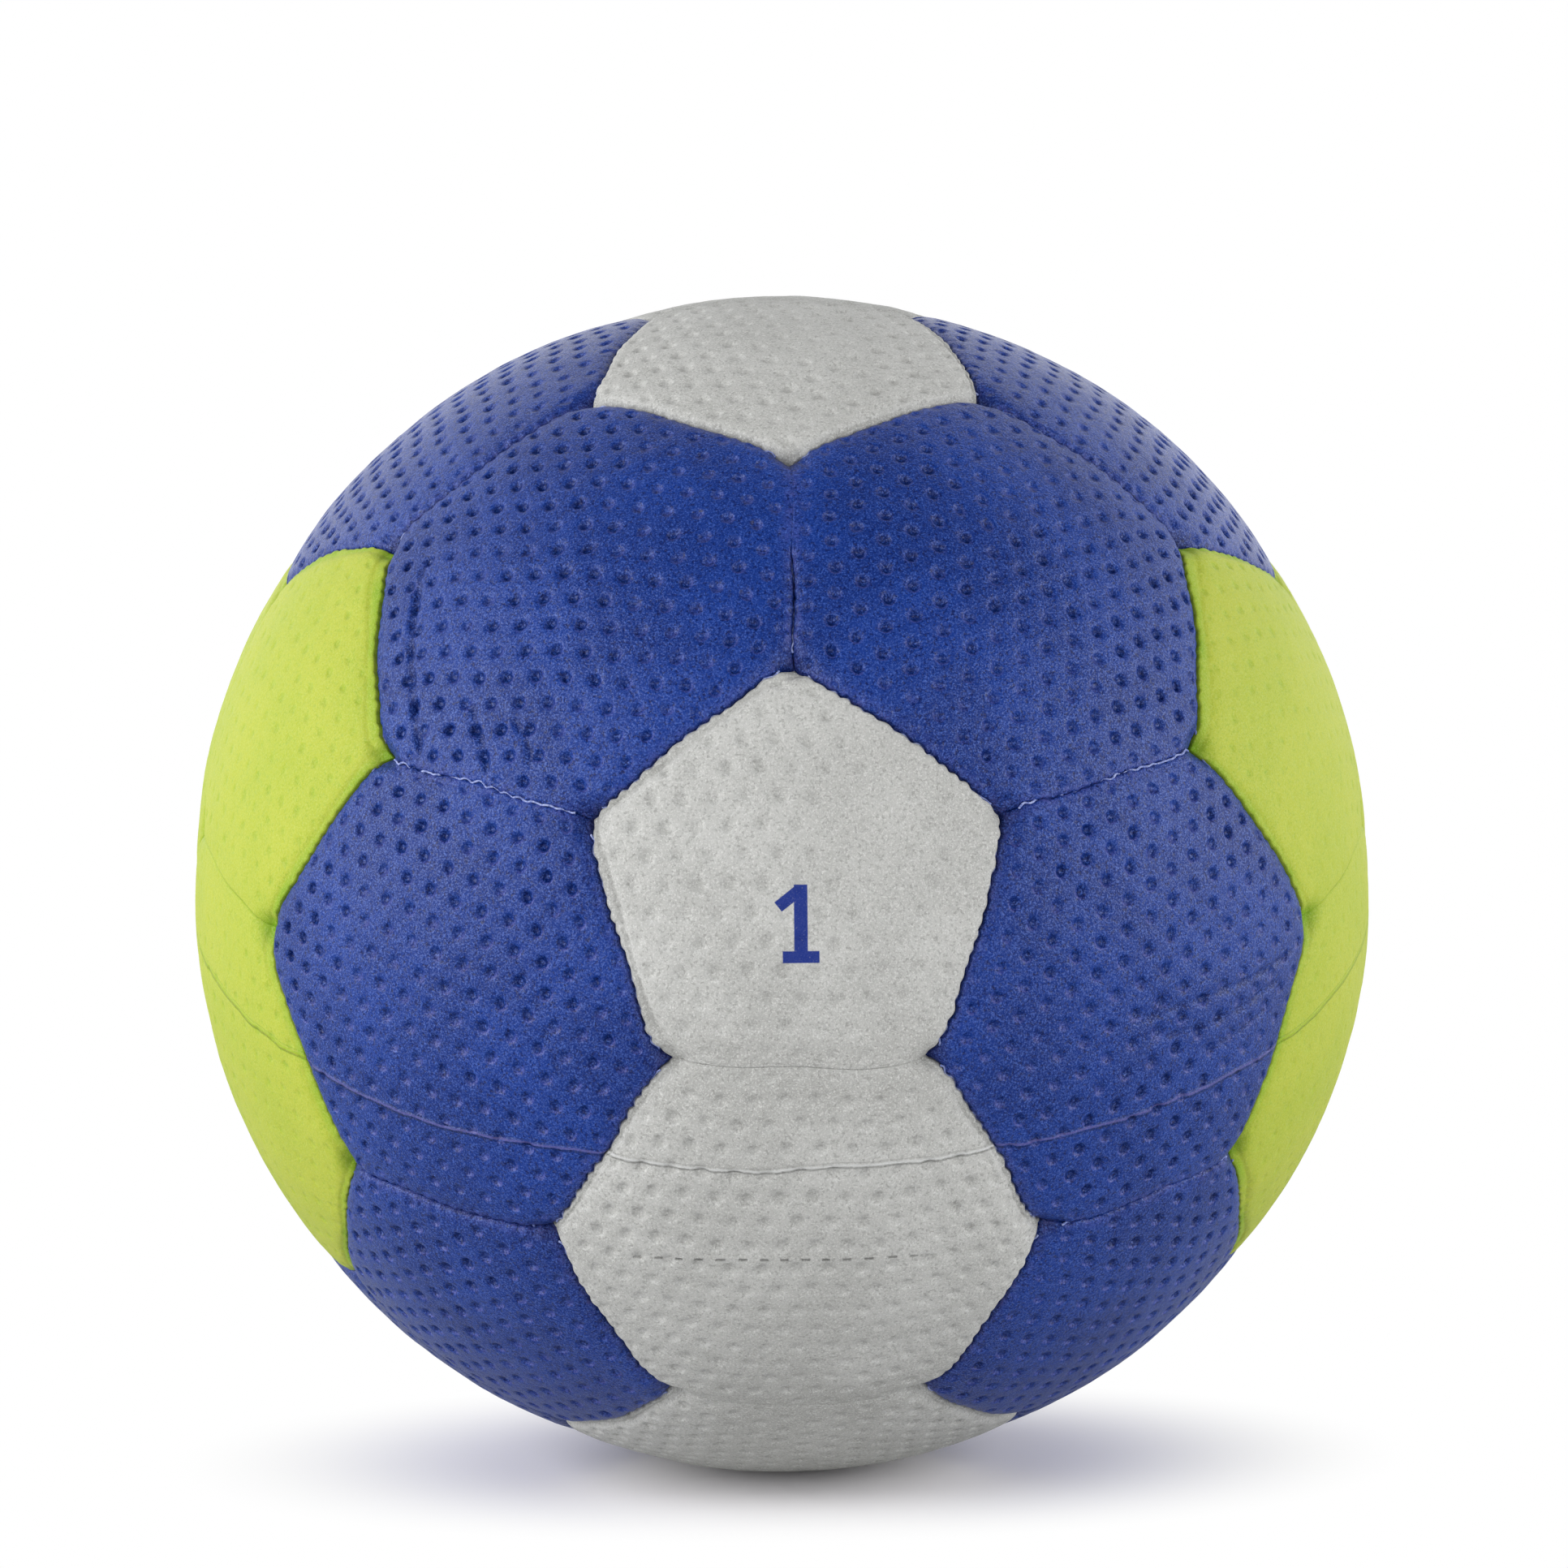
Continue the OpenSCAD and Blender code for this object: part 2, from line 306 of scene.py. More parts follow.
def seam_manner(number):
    """How the two panels meet at one seam, and how the seam wanders between them."""
    seam = SEAMS[number]
    first, second = PANELS[seam.first], PANELS[seam.second]
    names = (first.name, second.name)
    upper_draw, lower_draw, flange_draw, wave_draw, phase_draw, *bow_draws = (
        float(chance(number, n, SEAM_SEED)) for n in range(8)
    )
    bulge = int(np.sign(RANK[first.tint] - RANK[second.tint]))
    drawn_bow = tuple(BOW_RANGE * (draw - 0.5) + BOW_OF_BULGE * bulge for draw in bow_draws)
    manner = SimpleNamespace(
        bow=BOWS.get(first.name, {}).get(second.name, drawn_bow),
        bulge=bulge or 1,
        phase=2 * pi * phase_draw,
        wave=0.1 + 0.12 * wave_draw,
        pressed=(-1 if seam.run[1] > 0 else 1) if names in PRESSED_SEAMS else 0,
    )
    if bulge:
        over = first.tint if bulge > 0 else second.tint
        if over == "lime":
            flange = 0.4 + 0.9 * SHOWN_FLANGES.get(names, 0.3 + 0.6 * flange_draw)
            shoulder = 0.26 + 0.1 * upper_draw
            upper = Side(shoulder, width=1.7, lip=0.2, flange=flange, pucker=0.03)
            manner.scallop = 0.24
        else:
            flange = SHOWN_FLANGES.get(names, 1.2 * flange_draw)
            shoulder = 0.55 + 0.2 * upper_draw
            bead = 0.3 * min(1, flange)
            upper = Side(shoulder, width=1.3, lip=0.5, flange=flange, pucker=0.05, bead=bead)
            manner.scallop = 0.3
        lower = Side(0.75 + 0.25 * lower_draw, width=2.4, lip=0.5, flange=0.0, pucker=0.06)
        manner.sides = (upper, lower) if bulge > 0 else (lower, upper)
        manner.thread_depth = COVERED_THREAD
    elif names in BARE_THREADS:
        bare = Side(shoulder=0.3, width=2.2, lip=0.2, flange=0.0, pucker=0.04)
        manner.sides = (bare, bare)
        manner.scallop = 0.22
        manner.wave = 0.2
        manner.thread_depth = BARE_THREADS[names]
    else:
        level = {
            "lime": Side(shoulder=0.1, width=1.2, lip=0.22, flange=0.0, pucker=0.01),
            "grey": Side(shoulder=0.2, width=4.0, lip=0.06, flange=0.3, pucker=0.02, bead=0.05),
            "blue": Side(0.4 + 0.15 * upper_draw, width=1.4, lip=0.32, flange=0.0, pucker=0.16),
        }[first.tint]
        manner.sides = (level, level)
        manner.scallop = 0.1 if first.tint == "blue" else 0.03
        manner.thread_depth = LEVEL_THREAD
    return manner


MANNERS = [seam_manner(number) for number in range(len(SEAMS))]
HALF_RUN = BALL_R * sin(HALF_EDGE)
BOW_STATION = 0.8
BOW_FADE_POWER = 6
WAVE_REACH = 2.6


def slow_shift(manner, x):
    """How far a seam lies off its plane, towards the second panel: a bow and a slow wave.

    The bow is a parabola through its three given levels, at BOW_STATION of the half length to
    either side and in the middle. All of it fades out at the two corners, where panels meet."""
    u = np.clip(x / HALF_RUN, -1, 1)
    start, middle, end = manner.bow
    slope = (end - start) / (2 * BOW_STATION)
    curve = ((start + end) / 2 - middle) / BOW_STATION**2
    wave = manner.wave * np.sin(x / WAVE_REACH + manner.phase)
    return (middle + slope * u + curve * u**2 + wave) * (1 - u**BOW_FADE_POWER)


def seam_opening(manner, x):
    """How far a seam is drawn in, from 0 to 1: full, but for a seam pressed shut past its middle."""
    if manner.pressed == 0:
        return np.ones(len(x))
    share = np.clip((x * manner.pressed + PRESSED_START) / PRESSED_SPAN, 0, 1)
    return PRESSED_OPENING + (1 - PRESSED_OPENING) * eased(share)


PATCH_LENGTH = 2.9
LEAST_PATCH = 0.3

# Scallops: how far the stitches drift along the seam and over what reach, in stitches and mm, the
# least height and its range, and the part of it that lies below the seam's own line
STITCH_DRIFT = 0.3
DRIFT_REACH = 2.7
SCALLOP_LEAST = 0.4
SCALLOP_RANGE = 1.2
SCALLOP_BELOW = 0.5


def seam_seed(manner):
    """A whole number of a seam's own."""
    return np.int64(1000 * manner.phase)


def patchy(manner, x):
    """How strong the painted fold shade is along a seam: patches of random strength up to 1."""
    way = x / PATCH_LENGTH + manner.phase
    low = np.floor(way)
    part = eased(way - low)
    seed = seam_seed(manner)
    strength = chance(low, seed) * (1 - part) + chance(low + 1, seed) * part
    return LEAST_PATCH + (1 - LEAST_PATCH) * strength


def scallop_shift(manner, x):
    """How far a seam bulges between its stitches: half sine waves of random height."""
    u = np.clip(x / HALF_RUN, -1, 1)
    drift = STITCH_DRIFT * np.sin(x / DRIFT_REACH + 2 * manner.phase)
    way = x / STITCH_PITCH + manner.phase / pi + drift
    height = SCALLOP_LEAST + SCALLOP_RANGE * chance(np.floor(way), seam_seed(manner))
    bumps = np.abs(np.sin(pi * way)) * height - SCALLOP_BELOW
    return manner.scallop * manner.bulge * bumps * (1 - u ** (2 * BOW_FADE_POWER))


# Surface of a cover panel

# Dimples: the lattice's two pitches, and for each tint a depth and a radius, in mm
PIT_PITCH = 4.2
PIT_ROW = 3.7
PITS = {"blue": (0.6, 1.2), "grey": (0.42, 1.4), "lime": (0.13, 1.1)}
PIT_POWER = 1.5
PIT_SEED = 3
TURN_SEEDS = (5, 31)

# How the rows of dimples of the front hexagons run, by their numbers, in degrees from level
ROW_TURNS = {f"front_hexagon_{n}": turn for n, turn in enumerate((-35, 22, 0, -16, -10), start=1)}


def lattice_turn(number):
    """The cosine and sine of the turn of a panel's lattice of dimples, in its own plane."""
    panel = PANELS[number]
    turn = 2 * pi * float(chance(number, *TURN_SEEDS))
    if panel.name in ROW_TURNS:
        turn = -radians(ROW_TURNS[panel.name]) - panel.azimuth
    return cos(turn), sin(turn)


def lamp_way(number):
    """The way towards the lamps, up and outwards, along a panel's lattice and across it."""
    place = PANELS[number].place
    way = place.T @ np.array([0.7 * np.clip(2 * place[0, 2], -1, 1), 0.0, 1.0])
    c, s = lattice_turn(number)
    return way[0] * c - way[1] * s, way[0] * s + way[1] * c


def lattice(flat, number):
    """Where points lie on a panel's lattice of dimples, in mm along its rows and across them.

    Slow sine waves bend the rows."""
    c, s = lattice_turn(number)
    x = flat[:, 0] * c - flat[:, 1] * s
    y = flat[:, 0] * s + flat[:, 1] * c
    bent = x + 0.4 * np.sin(y / 9.0 + number) + 0.3 * np.sin(y / 2.3 + 2 * number)
    return bent, y + 0.25 * np.sin(x / 2.9 + 3 * number)


def pits(x, y, number):
    """Dimples on a staggered lattice: each is a bowl, 1 - (r / radius)^2 to the power PIT_POWER.

    Returns the depth, a 0 to 1 measure of how far down a dimple a point is, and how much painted
    highlight its wall takes: more, the more squarely the wall faces up and outwards, to the lamps."""
    depth, radius = PITS[PANELS[number].tint]
    hollow, nap = np.zeros((2, len(x)))
    way = lamp_way(number)
    for shift in (0, 1):
        row = 2 * np.round((y / PIT_ROW - shift) / 2) + shift
        column = np.round(x / PIT_PITCH - shift / 2)
        off_x = x - (column + shift / 2) * PIT_PITCH
        off_y = y - row * PIT_ROW
        off = off_x**2 + off_y**2
        # nap: painted highlight on the dimple walls, more the more they face the lamps
        facing = -(off_x * way[0] + off_y * way[1]) / radius
        nap = np.where(off < radius**2, np.clip(0.5 + 1.3 * facing, 0, 1.8), nap)
        strength = 0.6 + 0.6 * chance(column, row, number, PIT_SEED)
        hollow = np.maximum(hollow, strength * np.clip(1 - off / radius**2, 0, 1) ** PIT_POWER)
    return depth * hollow, np.clip(hollow, 0, 1), nap


# Wrinkles: grooves between two directions, given as places on the ball in mm, with their depths
WRINKLES = [
    ((-47.4, -45.0, 47.8), (-47.9, -61.9, 21.0), 0.8),
    ((-40.5, -62.8, 31.3), (-39.5, -67.4, 21.4), 0.6),
    ((-35.3, -66.6, 29.5), (-33.3, -70.3, 22.7), 0.55),
    ((-36.5, -72.4, 2.0), (-27.5, -73.5, -20.0), 0.28),
    ((41.3, -68.7, -11.4), (67.4, -44.9, -3.5), 0.5),
    ((44.2, -66.4, -13.9), (64.8, -48.0, -7.7), 0.45),
    ((51.7, -60.4, -15.2), (62.8, -49.8, -11.9), 0.35),
    ((20.0, 60.0, 50.0), (42.0, 55.0, 42.0), 0.15),
    ((-30.0, 70.0, 25.0), (-48.0, 62.0, 12.0), 0.15),
]
WRINKLE_WIDTH = 0.55
WRINKLE_SWAY = 0.5
WRINKLE_SWAYS = 5
WRINKLE_BEAD = 0.35
WRINKLE_FADE = 0.12


def wrinkles(points):
    """Grooves along great circles, beaded at the dimples' pitch, that fade at both ends."""
    drop = np.zeros(len(points))
    out = unit(points)
    for number, (start, end, depth) in enumerate(WRINKLES):
        a, b = unit(np.array(start)), unit(np.array(end))
        across = unit(np.cross(a, b))
        ahead = np.cross(across, a)
        span = acos(float(a @ b))
        way = np.arctan2(out @ ahead, out @ a) / span
        off = BALL_R * (out @ across) + WRINKLE_SWAY * np.sin(WRINKLE_SWAYS * way + number)
        bead = 1 - WRINKLE_BEAD + WRINKLE_BEAD * np.sin(way * span * BALL_R * 2 * pi / PIT_PITCH)
        ends = np.clip(np.minimum(way, 1 - way) / WRINKLE_FADE, 0, 1)
        drop = np.maximum(drop, depth * bead * ends * np.exp(-((off / WRINKLE_WIDTH) ** 2)))
    return drop


# How far from a seam each thing fades out, in mm
BOW_REACH = 8.0
SCALLOP_REACH = 1.1
PUCKER_REACH = 1.1
SLOPE_REACH = 4.0
GREY_SEAM_DARK_WIDTH = 7.0
BRUSHED_WIDTH = 1.1
PLAIN_RIM = 1.5
LIP_WIDTH = 0.5

# How deep a skin is drawn in, in mm: its slope, its corners with their width, and the most of all
SLOPE_DEPTH = 0.25
CORNER_DEPTH = 1.3
CORNER_WIDTH = 2.1
DEEPEST = 2.75

# How a flange's width waves along its seam: the share of it and the reach in mm
FLANGE_WAVE = 0.25
FLANGE_WAVE_REACH = 3.1

# Unevenness of the skin: depth and size in mm, and seed
LUMPS = ((0.12, 9.0, 11), (0.05, 3.1, 12))
GRAIN = (0.02, 0.9, 13)

# How the nap at the seams and the depth of the dimples vary: middle and spread of their share,
# size in mm and seed. The second stays within FAINT_LIMITS
BRUSHING = (0.5, 0.7, 0.8, 14)
FAINTNESS = (0.85, 0.6, 15.0, 15)
FAINT_LIMITS = (0.4, 1.15)


def quarter_round(share):
    """The drop of a quarter round, from 1 at its foot, share 0, to 0 at its top, share 1."""
    return 1 - np.sqrt(1 - (1 - np.clip(share, 0, 1)) ** 2)


def drawn_in(own, manner, gap, x):
    """How far a panel is drawn in beside a seam, in mm, at a gap from it and a place along it.

    A shoulder, a quarter round that ends in a level flange, and a lip, a smaller quarter round
    that turns into the seam. Puckers run square to the seam from every stitch."""
    flange = own.flange * (1 + FLANGE_WAVE * np.sin(x / FLANGE_WAVE_REACH + manner.phase))
    shoulder = own.shoulder * quarter_round((gap - flange) / own.width)
    bead = own.bead * np.sin(pi * np.clip(gap / (flange + 1e-9), 0, 1))
    lip = own.lip * quarter_round(gap / LIP_WIDTH)
    stitch = np.cos(2 * pi * x / STITCH_PITCH + 2 * manner.phase)
    pucker = own.pucker * (1 + stitch) * np.exp(-gap / PUCKER_REACH)
    firm = min(1, 4 * own.shoulder / own.width)
    slope = SLOPE_DEPTH * firm * np.exp(-gap / SLOPE_REACH)
    opened = seam_opening(manner, x)
    # Painted shade beside the seam where the shoulder is firm, in patches
    fold_shade_share = np.exp(-((gap / (0.3 + 0.7 * flange)) ** 4)) * firm * patchy(manner, x)
    return opened * (shoulder + lip + pucker + slope - bead), fold_shade_share * opened


def dress(points, out, number, flat, edges, from_hole):
    """The finished surface of a cover panel: its dome, drawn in at each seam and dimpled all over.

    Where two seams meet, the square root of the sum of their squares is taken off. Returns the
    points and the marks that the finish reads."""
    taken, fold, soiled = np.zeros((3, len(points)))
    moved = np.zeros_like(points)
    for gap, x, seam_number, sign, inward in edges:
        manner, seam = MANNERS[seam_number], SEAMS[seam_number]
        depth, fold_shade_share = drawn_in(manner.sides[0 if sign > 0 else 1], manner, gap, x)
        taken = taken + depth**2
        fold = np.maximum(fold, fold_shade_share)
        # Grey panels are coloured darker within a few mm of a seam between two grey ones
        if PANELS[seam.first].tint == PANELS[seam.second].tint == "grey":
            soiled = np.maximum(soiled, np.exp(-((gap / GREY_SEAM_DARK_WIDTH) ** 2)))
        bowed = slow_shift(manner, x) * np.exp(-gap / BOW_REACH)
        scalloped = scallop_shift(manner, x) * np.exp(-gap / SCALLOP_REACH)
        moved -= inward * (sign * bowed)[:, None]
        moved -= inward * (sign * scalloped)[:, None]
    gaps = np.sort(np.array([edge[0] for edge in edges]), axis=0)
    corner = np.exp(-((np.hypot(gaps[0], gaps[1]) / CORNER_WIDTH) ** 2))
    taken = np.minimum(np.sqrt(taken) + CORNER_DEPTH * corner, DEEPEST)
    rows_x, rows_y = lattice(flat, number)
    dimple, deep, nap = pits(rows_x, rows_y, number)
    faint = np.clip(varied(points, *FAINTNESS), *FAINT_LIMITS)
    rim = 1 - np.exp(-((np.minimum(gaps[0], from_hole) / PLAIN_RIM) ** 2))
    crease = wrinkles(points)
    brushed = np.exp(-((gaps[0] / BRUSHED_WIDTH) ** 2)) * varied(points, *BRUSHING)
    lumps = sum(depth * soft_noise(points, size, seed) for depth, size, seed in LUMPS)
    grain = GRAIN[0] * soft_noise(points, *GRAIN[1:])
    level = (lumps - dimple * faint - crease) * rim - taken + grain
    # The fold and dimple marks lay painted shade, the nap mark a painted highlight on dimple walls
    marks = {
        "fold": np.maximum(fold, corner),
        "dimple": np.clip(np.maximum(deep * faint, 3 * crease) * rim, 0, 1),
        "brushed": np.clip(brushed, 0, 1),
        "soiled": soiled,
        "nap": nap * rim,
        "lattice": np.stack([rows_x / PIT_PITCH, rows_y / (2 * PIT_ROW), rim], axis=1),
    }
    return points + moved + out * level[:, None], marks


def fine_steps(steps):
    """Shares from 0 to 1 whose steps get finer towards 1."""
    u = np.linspace(0, 1, steps + 1)
    return u * (1 + EDGE_FINENESS) - EDGE_FINENESS * u**EDGE_POWER


def polar(reach, turn):
    """A point of a plane, by its reach from the middle and its turn from the X axis."""
    return reach * np.array([cos(turn), sin(turn)])


def kite_grid(sides, steps):
    """Points of a flat regular polygon, as kites between its middle, an edge's middle, a corner
    and the next edge's middle, each blended linearly both ways. Steps are finer at the edges."""
    share = fine_steps(steps)
    s, t = np.meshgrid(share, share, indexing="ij")
    mid_reach = tan(REACH[sides])
    grids = []
    for k in range(sides):
        turn = 2 * pi * k / sides - pi / 2
        mid = polar(mid_reach, turn)
        corner = polar(mid_reach / cos(pi / sides), turn + pi / sides)
        following = polar(mid_reach, turn + 2 * pi / sides)
        grids.append(
            (s * (1 - t))[..., None] * mid
            + (s * t)[..., None] * corner
            + ((1 - s) * t)[..., None] * following
        )
    return grids


def holed_grid(sides, steps, hole):
    """Points of a flat regular polygon with a round hole: rays from the hole to the edge, from
    which each point is blended linearly. Steps are finer at both ends."""
    share = fine_steps(steps)
    share = np.where(share < HOLE_FINENESS, share * (share / HOLE_FINENESS) ** 0.5, share)
    mid_reach = tan(REACH[sides])
    across = np.linspace(0, 1, 6 * steps // 5 + 1)
    grids = []
    for k in range(sides):
        mid_turn = 2 * pi * k / sides - pi / 2
        turn = mid_turn + (across - 0.5) * 2 * pi / sides
        edge_reach = mid_reach / np.cos(turn - mid_turn)
        ray = np.stack([np.cos(turn), np.sin(turn)], axis=-1)
        reach = hole + share[:, None] * (edge_reach - hole)
        grids.append(reach[..., None] * ray)
    return grids


def quads_of(*corners):
    """Faces of four corners, from the arrays of their first, second, third and last corners."""
    return np.stack(corners, axis=-1).reshape(-1, 4)


def sew(grids):
    """Joins grids of points into one mesh: points at the same place become one."""
    points, quads, start = [], [], 0
    for grid in grids:
        rows, columns = grid.shape[:2]
        ids = start + np.arange(rows * columns).reshape(rows, columns)
        quads.append(quads_of(ids[:-1, :-1], ids[1:, :-1], ids[1:, 1:], ids[:-1, 1:]))
        points.append(grid.reshape(-1, grid.shape[-1]))
        start += rows * columns
    points = np.concatenate(points)
    rounded = np.round(points, 7)
    _, first, same = np.unique(rounded, axis=0, return_index=True, return_inverse=True)
    return points[first], same.reshape(-1)[np.concatenate(quads)]


def panel_mesh(panel, steps):
    """A panel's flat polygon as one mesh, with the valve's hole in the panel that has it."""
    if panel.name == HOLED_PANEL:
        return sew(holed_grid(panel.sides, steps, VALVE_HOLE_R / BALL_R))
    return sew(kite_grid(panel.sides, steps))


def directions(flat, panel):
    """The directions of flat points of a panel, in its own frame and on the ball."""
    local = unit(np.concatenate([flat, np.ones((len(flat), 1))], axis=1))
    return local, local @ panel.place.T


def rim_edges(quads):
    """The open edges of a mesh, in the direction that its faces give them."""
    edges = np.concatenate([quads[:, [k, (k + 1) % 4]] for k in range(4)])
    edges = edges[edges[:, 0] != edges[:, 1]]
    key = edges[:, 0].astype(np.int64) << 32 | edges[:, 1]
    back = edges[:, 1].astype(np.int64) << 32 | edges[:, 0]
    return edges[~np.isin(key, back)]


def fan(starts, ends, middle):
    """Triangles from the edges of a ring to one middle point, as quads that use it twice."""
    middles = np.full(len(starts), middle)
    return quads_of(starts, ends, middles, middles)


def wound(rows, turns, closed=False):
    """Rows of points that run round an axis: their numbers, the next points' round the axis, and
    the faces between the rows, from the last row to the first too if it is closed."""
    ids = np.arange(rows * turns).reshape(rows, turns)
    ids = np.concatenate([ids, ids[:1]]) if closed else ids
    beside = np.roll(ids, -1, axis=1)
    return ids, beside, quads_of(ids[:-1], beside[:-1], beside[1:], ids[1:])


def make_piece(name, points, faces, finish, smooth=True, marks=None):
    """A mesh object from points in mm and faces of three or four corners, at the origin."""
    mesh = bpy.data.meshes.new(name)
    mesh.from_pydata((points * MM).tolist(), [], [list(dict.fromkeys(f)) for f in faces.tolist()])
    for label, values in (marks or {}).items():
        kind, field = ("FLOAT_VECTOR", "vector") if values.ndim == 2 else ("FLOAT", "value")
        mark = mesh.attributes.new(label, kind, "POINT")
        mark.data.foreach_set(field, values.astype(np.float32).ravel())
    mesh.polygons.foreach_set("use_smooth", np.full(len(mesh.polygons), smooth))
    mesh.update()
    mesh.materials.append(finish)
    piece = bpy.data.objects.new(name, mesh)
    bpy.context.scene.collection.objects.link(piece)
    return piece


def stand_in(piece, cad_node, slot):
    """Puts a piece on the ball's one body, in place of a node of the solids."""
    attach(piece, "root")
    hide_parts(cad_node)
    return piece


# Under a skin: levels that its rim goes down to in the seam, and the inner face's share and level
RIM_LEVELS = (77.9, 76.9)
INNER_ROWS = ((0.06, 79.224), (0.5, 79.4))
INNER_MIDDLE = 79.6

# How the skin rounds into the valve's hole: its drop and width, in mm
HOLE_DROP = 0.6
HOLE_ROUND = 0.8


def cover_panel(number, finish):
    """One padded cover panel, as a closed skin whose rim turns down into the seams."""
    panel = PANELS[number]
    holed = panel.name == HOLED_PANEL
    flat, quads = panel_mesh(panel, STEPS[panel.sides])
    local, out = directions(flat, panel)
    points = out * dome_level(local[:, 2])[:, None]
    edges = []
    for k, (mid, inward, run) in enumerate(edge_frames(panel)):
        seam, sign = SEAM_OF[(number, k)]
        edges.append((np.maximum(points @ inward, 0), sign * (points @ run), seam, sign, inward))
    from_hole = np.full(len(points), BALL_R)
    if holed:
        from_hole = np.maximum(np.hypot(local[:, 0], local[:, 1]) * BALL_R - VALVE_HOLE_R, 0)
    shaped, marks = dress(points, out, number, flat * BALL_R, edges, from_hole)
    if holed:
        shaped = shaped - out * (HOLE_DROP * quarter_round(from_hole / HOLE_ROUND))[:, None]
    rim = rim_edges(quads)
    rim_points = np.unique(rim)
    start, count = len(shaped), len(rim_points)
    index = np.full(start, -1)
    index[rim_points] = np.arange(count)
    axis = panel.place[:, 2]
    rim_out = unit(shaped[rim_points])
    rows = [rim_out * level for level in RIM_LEVELS]
    rows += [unit(rim_out * (1 - share) + axis * share) * level for share, level in INNER_ROWS]
    ids = [rim_points] + [start + r * count + np.arange(count) for r in range(len(rows))]
    a, b = index[rim[:, 0]], index[rim[:, 1]]
    faces = [quads]
    for upper, lower in zip(ids[:-1], ids[1:]):
        faces.append(quads_of(upper[b], upper[a], lower[a], lower[b]))
    all_points = np.concatenate([shaped] + rows)
    if not holed:
        faces.append(fan(ids[-1][b], ids[-1][a], len(all_points)))
        all_points = np.concatenate([all_points, [axis * INNER_MIDDLE]])
    # The rim rows and inner face take the fold mark at 1, as full painted shade, and 0 for the rest
    for label, values in marks.items():
        under_shape = (len(all_points) - start,) + values.shape[1:]
        under = np.full(under_shape, 1.0 if label == "fold" else 0.0)
        marks[label] = np.concatenate([values, under])
    piece = make_piece(panel.name + "_cover", all_points, np.concatenate(faces), finish, marks=marks)
    stand_in(piece, panel.name, "cover_" + panel.tint)


# Finishes


class Number:
    """A number out of a node. Sums with it, and most other steps, add nodes of their own."""

    def __init__(self, nodes, socket):
        self.nodes = nodes
        self.socket = socket

    def step(self, way, *others):
        """The result of a step of this name on this number and the others."""
        return self.nodes.number("ShaderNodeMath", self, *others, operation=way)

    def __add__(self, other):
        return self.step("ADD", other)

    def __sub__(self, other):
        return self.step("SUBTRACT", other)

    def __mul__(self, other):
        return self.step("MULTIPLY", other)

    def __abs__(self):
        return self.step("ABSOLUTE")

    def between(self, *spans):
        """Spreads the number from one range to another, 0 to 1 if it isn't given, smoothly, and
        stops at its ends."""
        return self.nodes.number("ShaderNodeMapRange", self, *spans, interpolation_type="SMOOTHSTEP")


class Nodes:
    """A node tree, with short ways to add to it. A value is a number, a colour or a socket."""

    def __init__(self, tree, coordinates="Object"):
        self.tree = tree
        self.place = self.add("ShaderNodeTexCoord").outputs[coordinates]

    def put(self, value, socket):
        """Links a value to an input, or sets the input to it."""
        value = getattr(value, "socket", value)
        if hasattr(value, "links"):
            self.tree.links.new(value, socket)
        else:
            socket.default_value = value

    def add(self, kind, *values, **settings):
        """A new node: its first inputs in order, its other inputs and its settings by name."""
        made = self.tree.nodes.new(kind)
        for key, value in settings.items():
            if key in made.inputs:
                self.put(value, made.inputs[key])
            else:
                setattr(made, key, value)
        for socket, value in zip(made.inputs, values):
            self.put(value, socket)
        return made

    def number(self, kind, *values, output=0, **settings):
        """A new node's output as a number to go on with."""
        return Number(self, self.add(kind, *values, **settings).outputs[output])

    def most(self, *values):
        """The largest of several numbers."""
        return reduce(lambda a, b: a.step("MAXIMUM", b), values)

    def vector(self, way, *values):
        """The result of a step on vectors."""
        return self.add("ShaderNodeVectorMath", *values, operation=way).outputs["Vector"]

    def length(self, vector):
        """The length of a vector."""
        return self.number("ShaderNodeVectorMath", vector, output="Value", operation="LENGTH")

    def along(self, direction, offset=0.0):
        """How far a point lies along a direction, in mm, less an offset."""
        scaled = tuple(float(d) / MM for d in direction)
        values = (self.place, scaled)
        way = self.number("ShaderNodeVectorMath", *values, output="Value", operation="DOT_PRODUCT")
        return way - offset

    def noise(self, scale, detail, rough):
        """Noise on the piece's own place in space, in cells per metre."""
        spans = {"Scale": scale, "Detail": detail, "Roughness": rough}
        return self.number("ShaderNodeTexNoise", self.place, output="Fac", **spans)

    def mark(self, name):
        """One of the marks that the shape functions left on the points."""
        return self.number("ShaderNodeAttribute", output="Fac", attribute_name=name)

    def blend(self, share, first, second):
        """Mixes two colours by a share."""
        made = self.add("ShaderNodeMix", share, data_type="RGBA")
        self.put(first, made.inputs[6])
        self.put(second, made.inputs[7])
        return made.outputs[2]

    def bump(self, height, strength, distance, **more):
        """The normal of a surface raised by a height from 0 to 1, times a distance in metres."""
        made = self.add("ShaderNodeBump", Strength=strength, Distance=distance, Height=height, **more)
        return made.outputs["Normal"]

    def for_camera(self, seen, other):
        """One shader where the camera looks, and another for all other light."""
        ray = self.add("ShaderNodeLightPath").outputs["Is Camera Ray"]
        return self.add("ShaderNodeMixShader", ray, other.outputs[0], seen.outputs[0]).outputs[0]


class Finish(Nodes):
    """A new material round one Principled shader."""

    def __init__(self, name):
        self.material = bpy.data.materials.new(name)
        self.material.use_nodes = True
        super().__init__(self.material.node_tree)

    def done(self, tone, rough, normal, shine=None):
        """The material, once its shader has its colour, roughness, normal and shine."""
        shader = self.tree.nodes["Principled BSDF"]
        given = {"Base Color": tone, "Roughness": rough, "Normal": normal, "Specular IOR Level": shine}
        for key, value in given.items():
            if value is not None:
                self.put(value, shader.inputs[key])
        return self.material


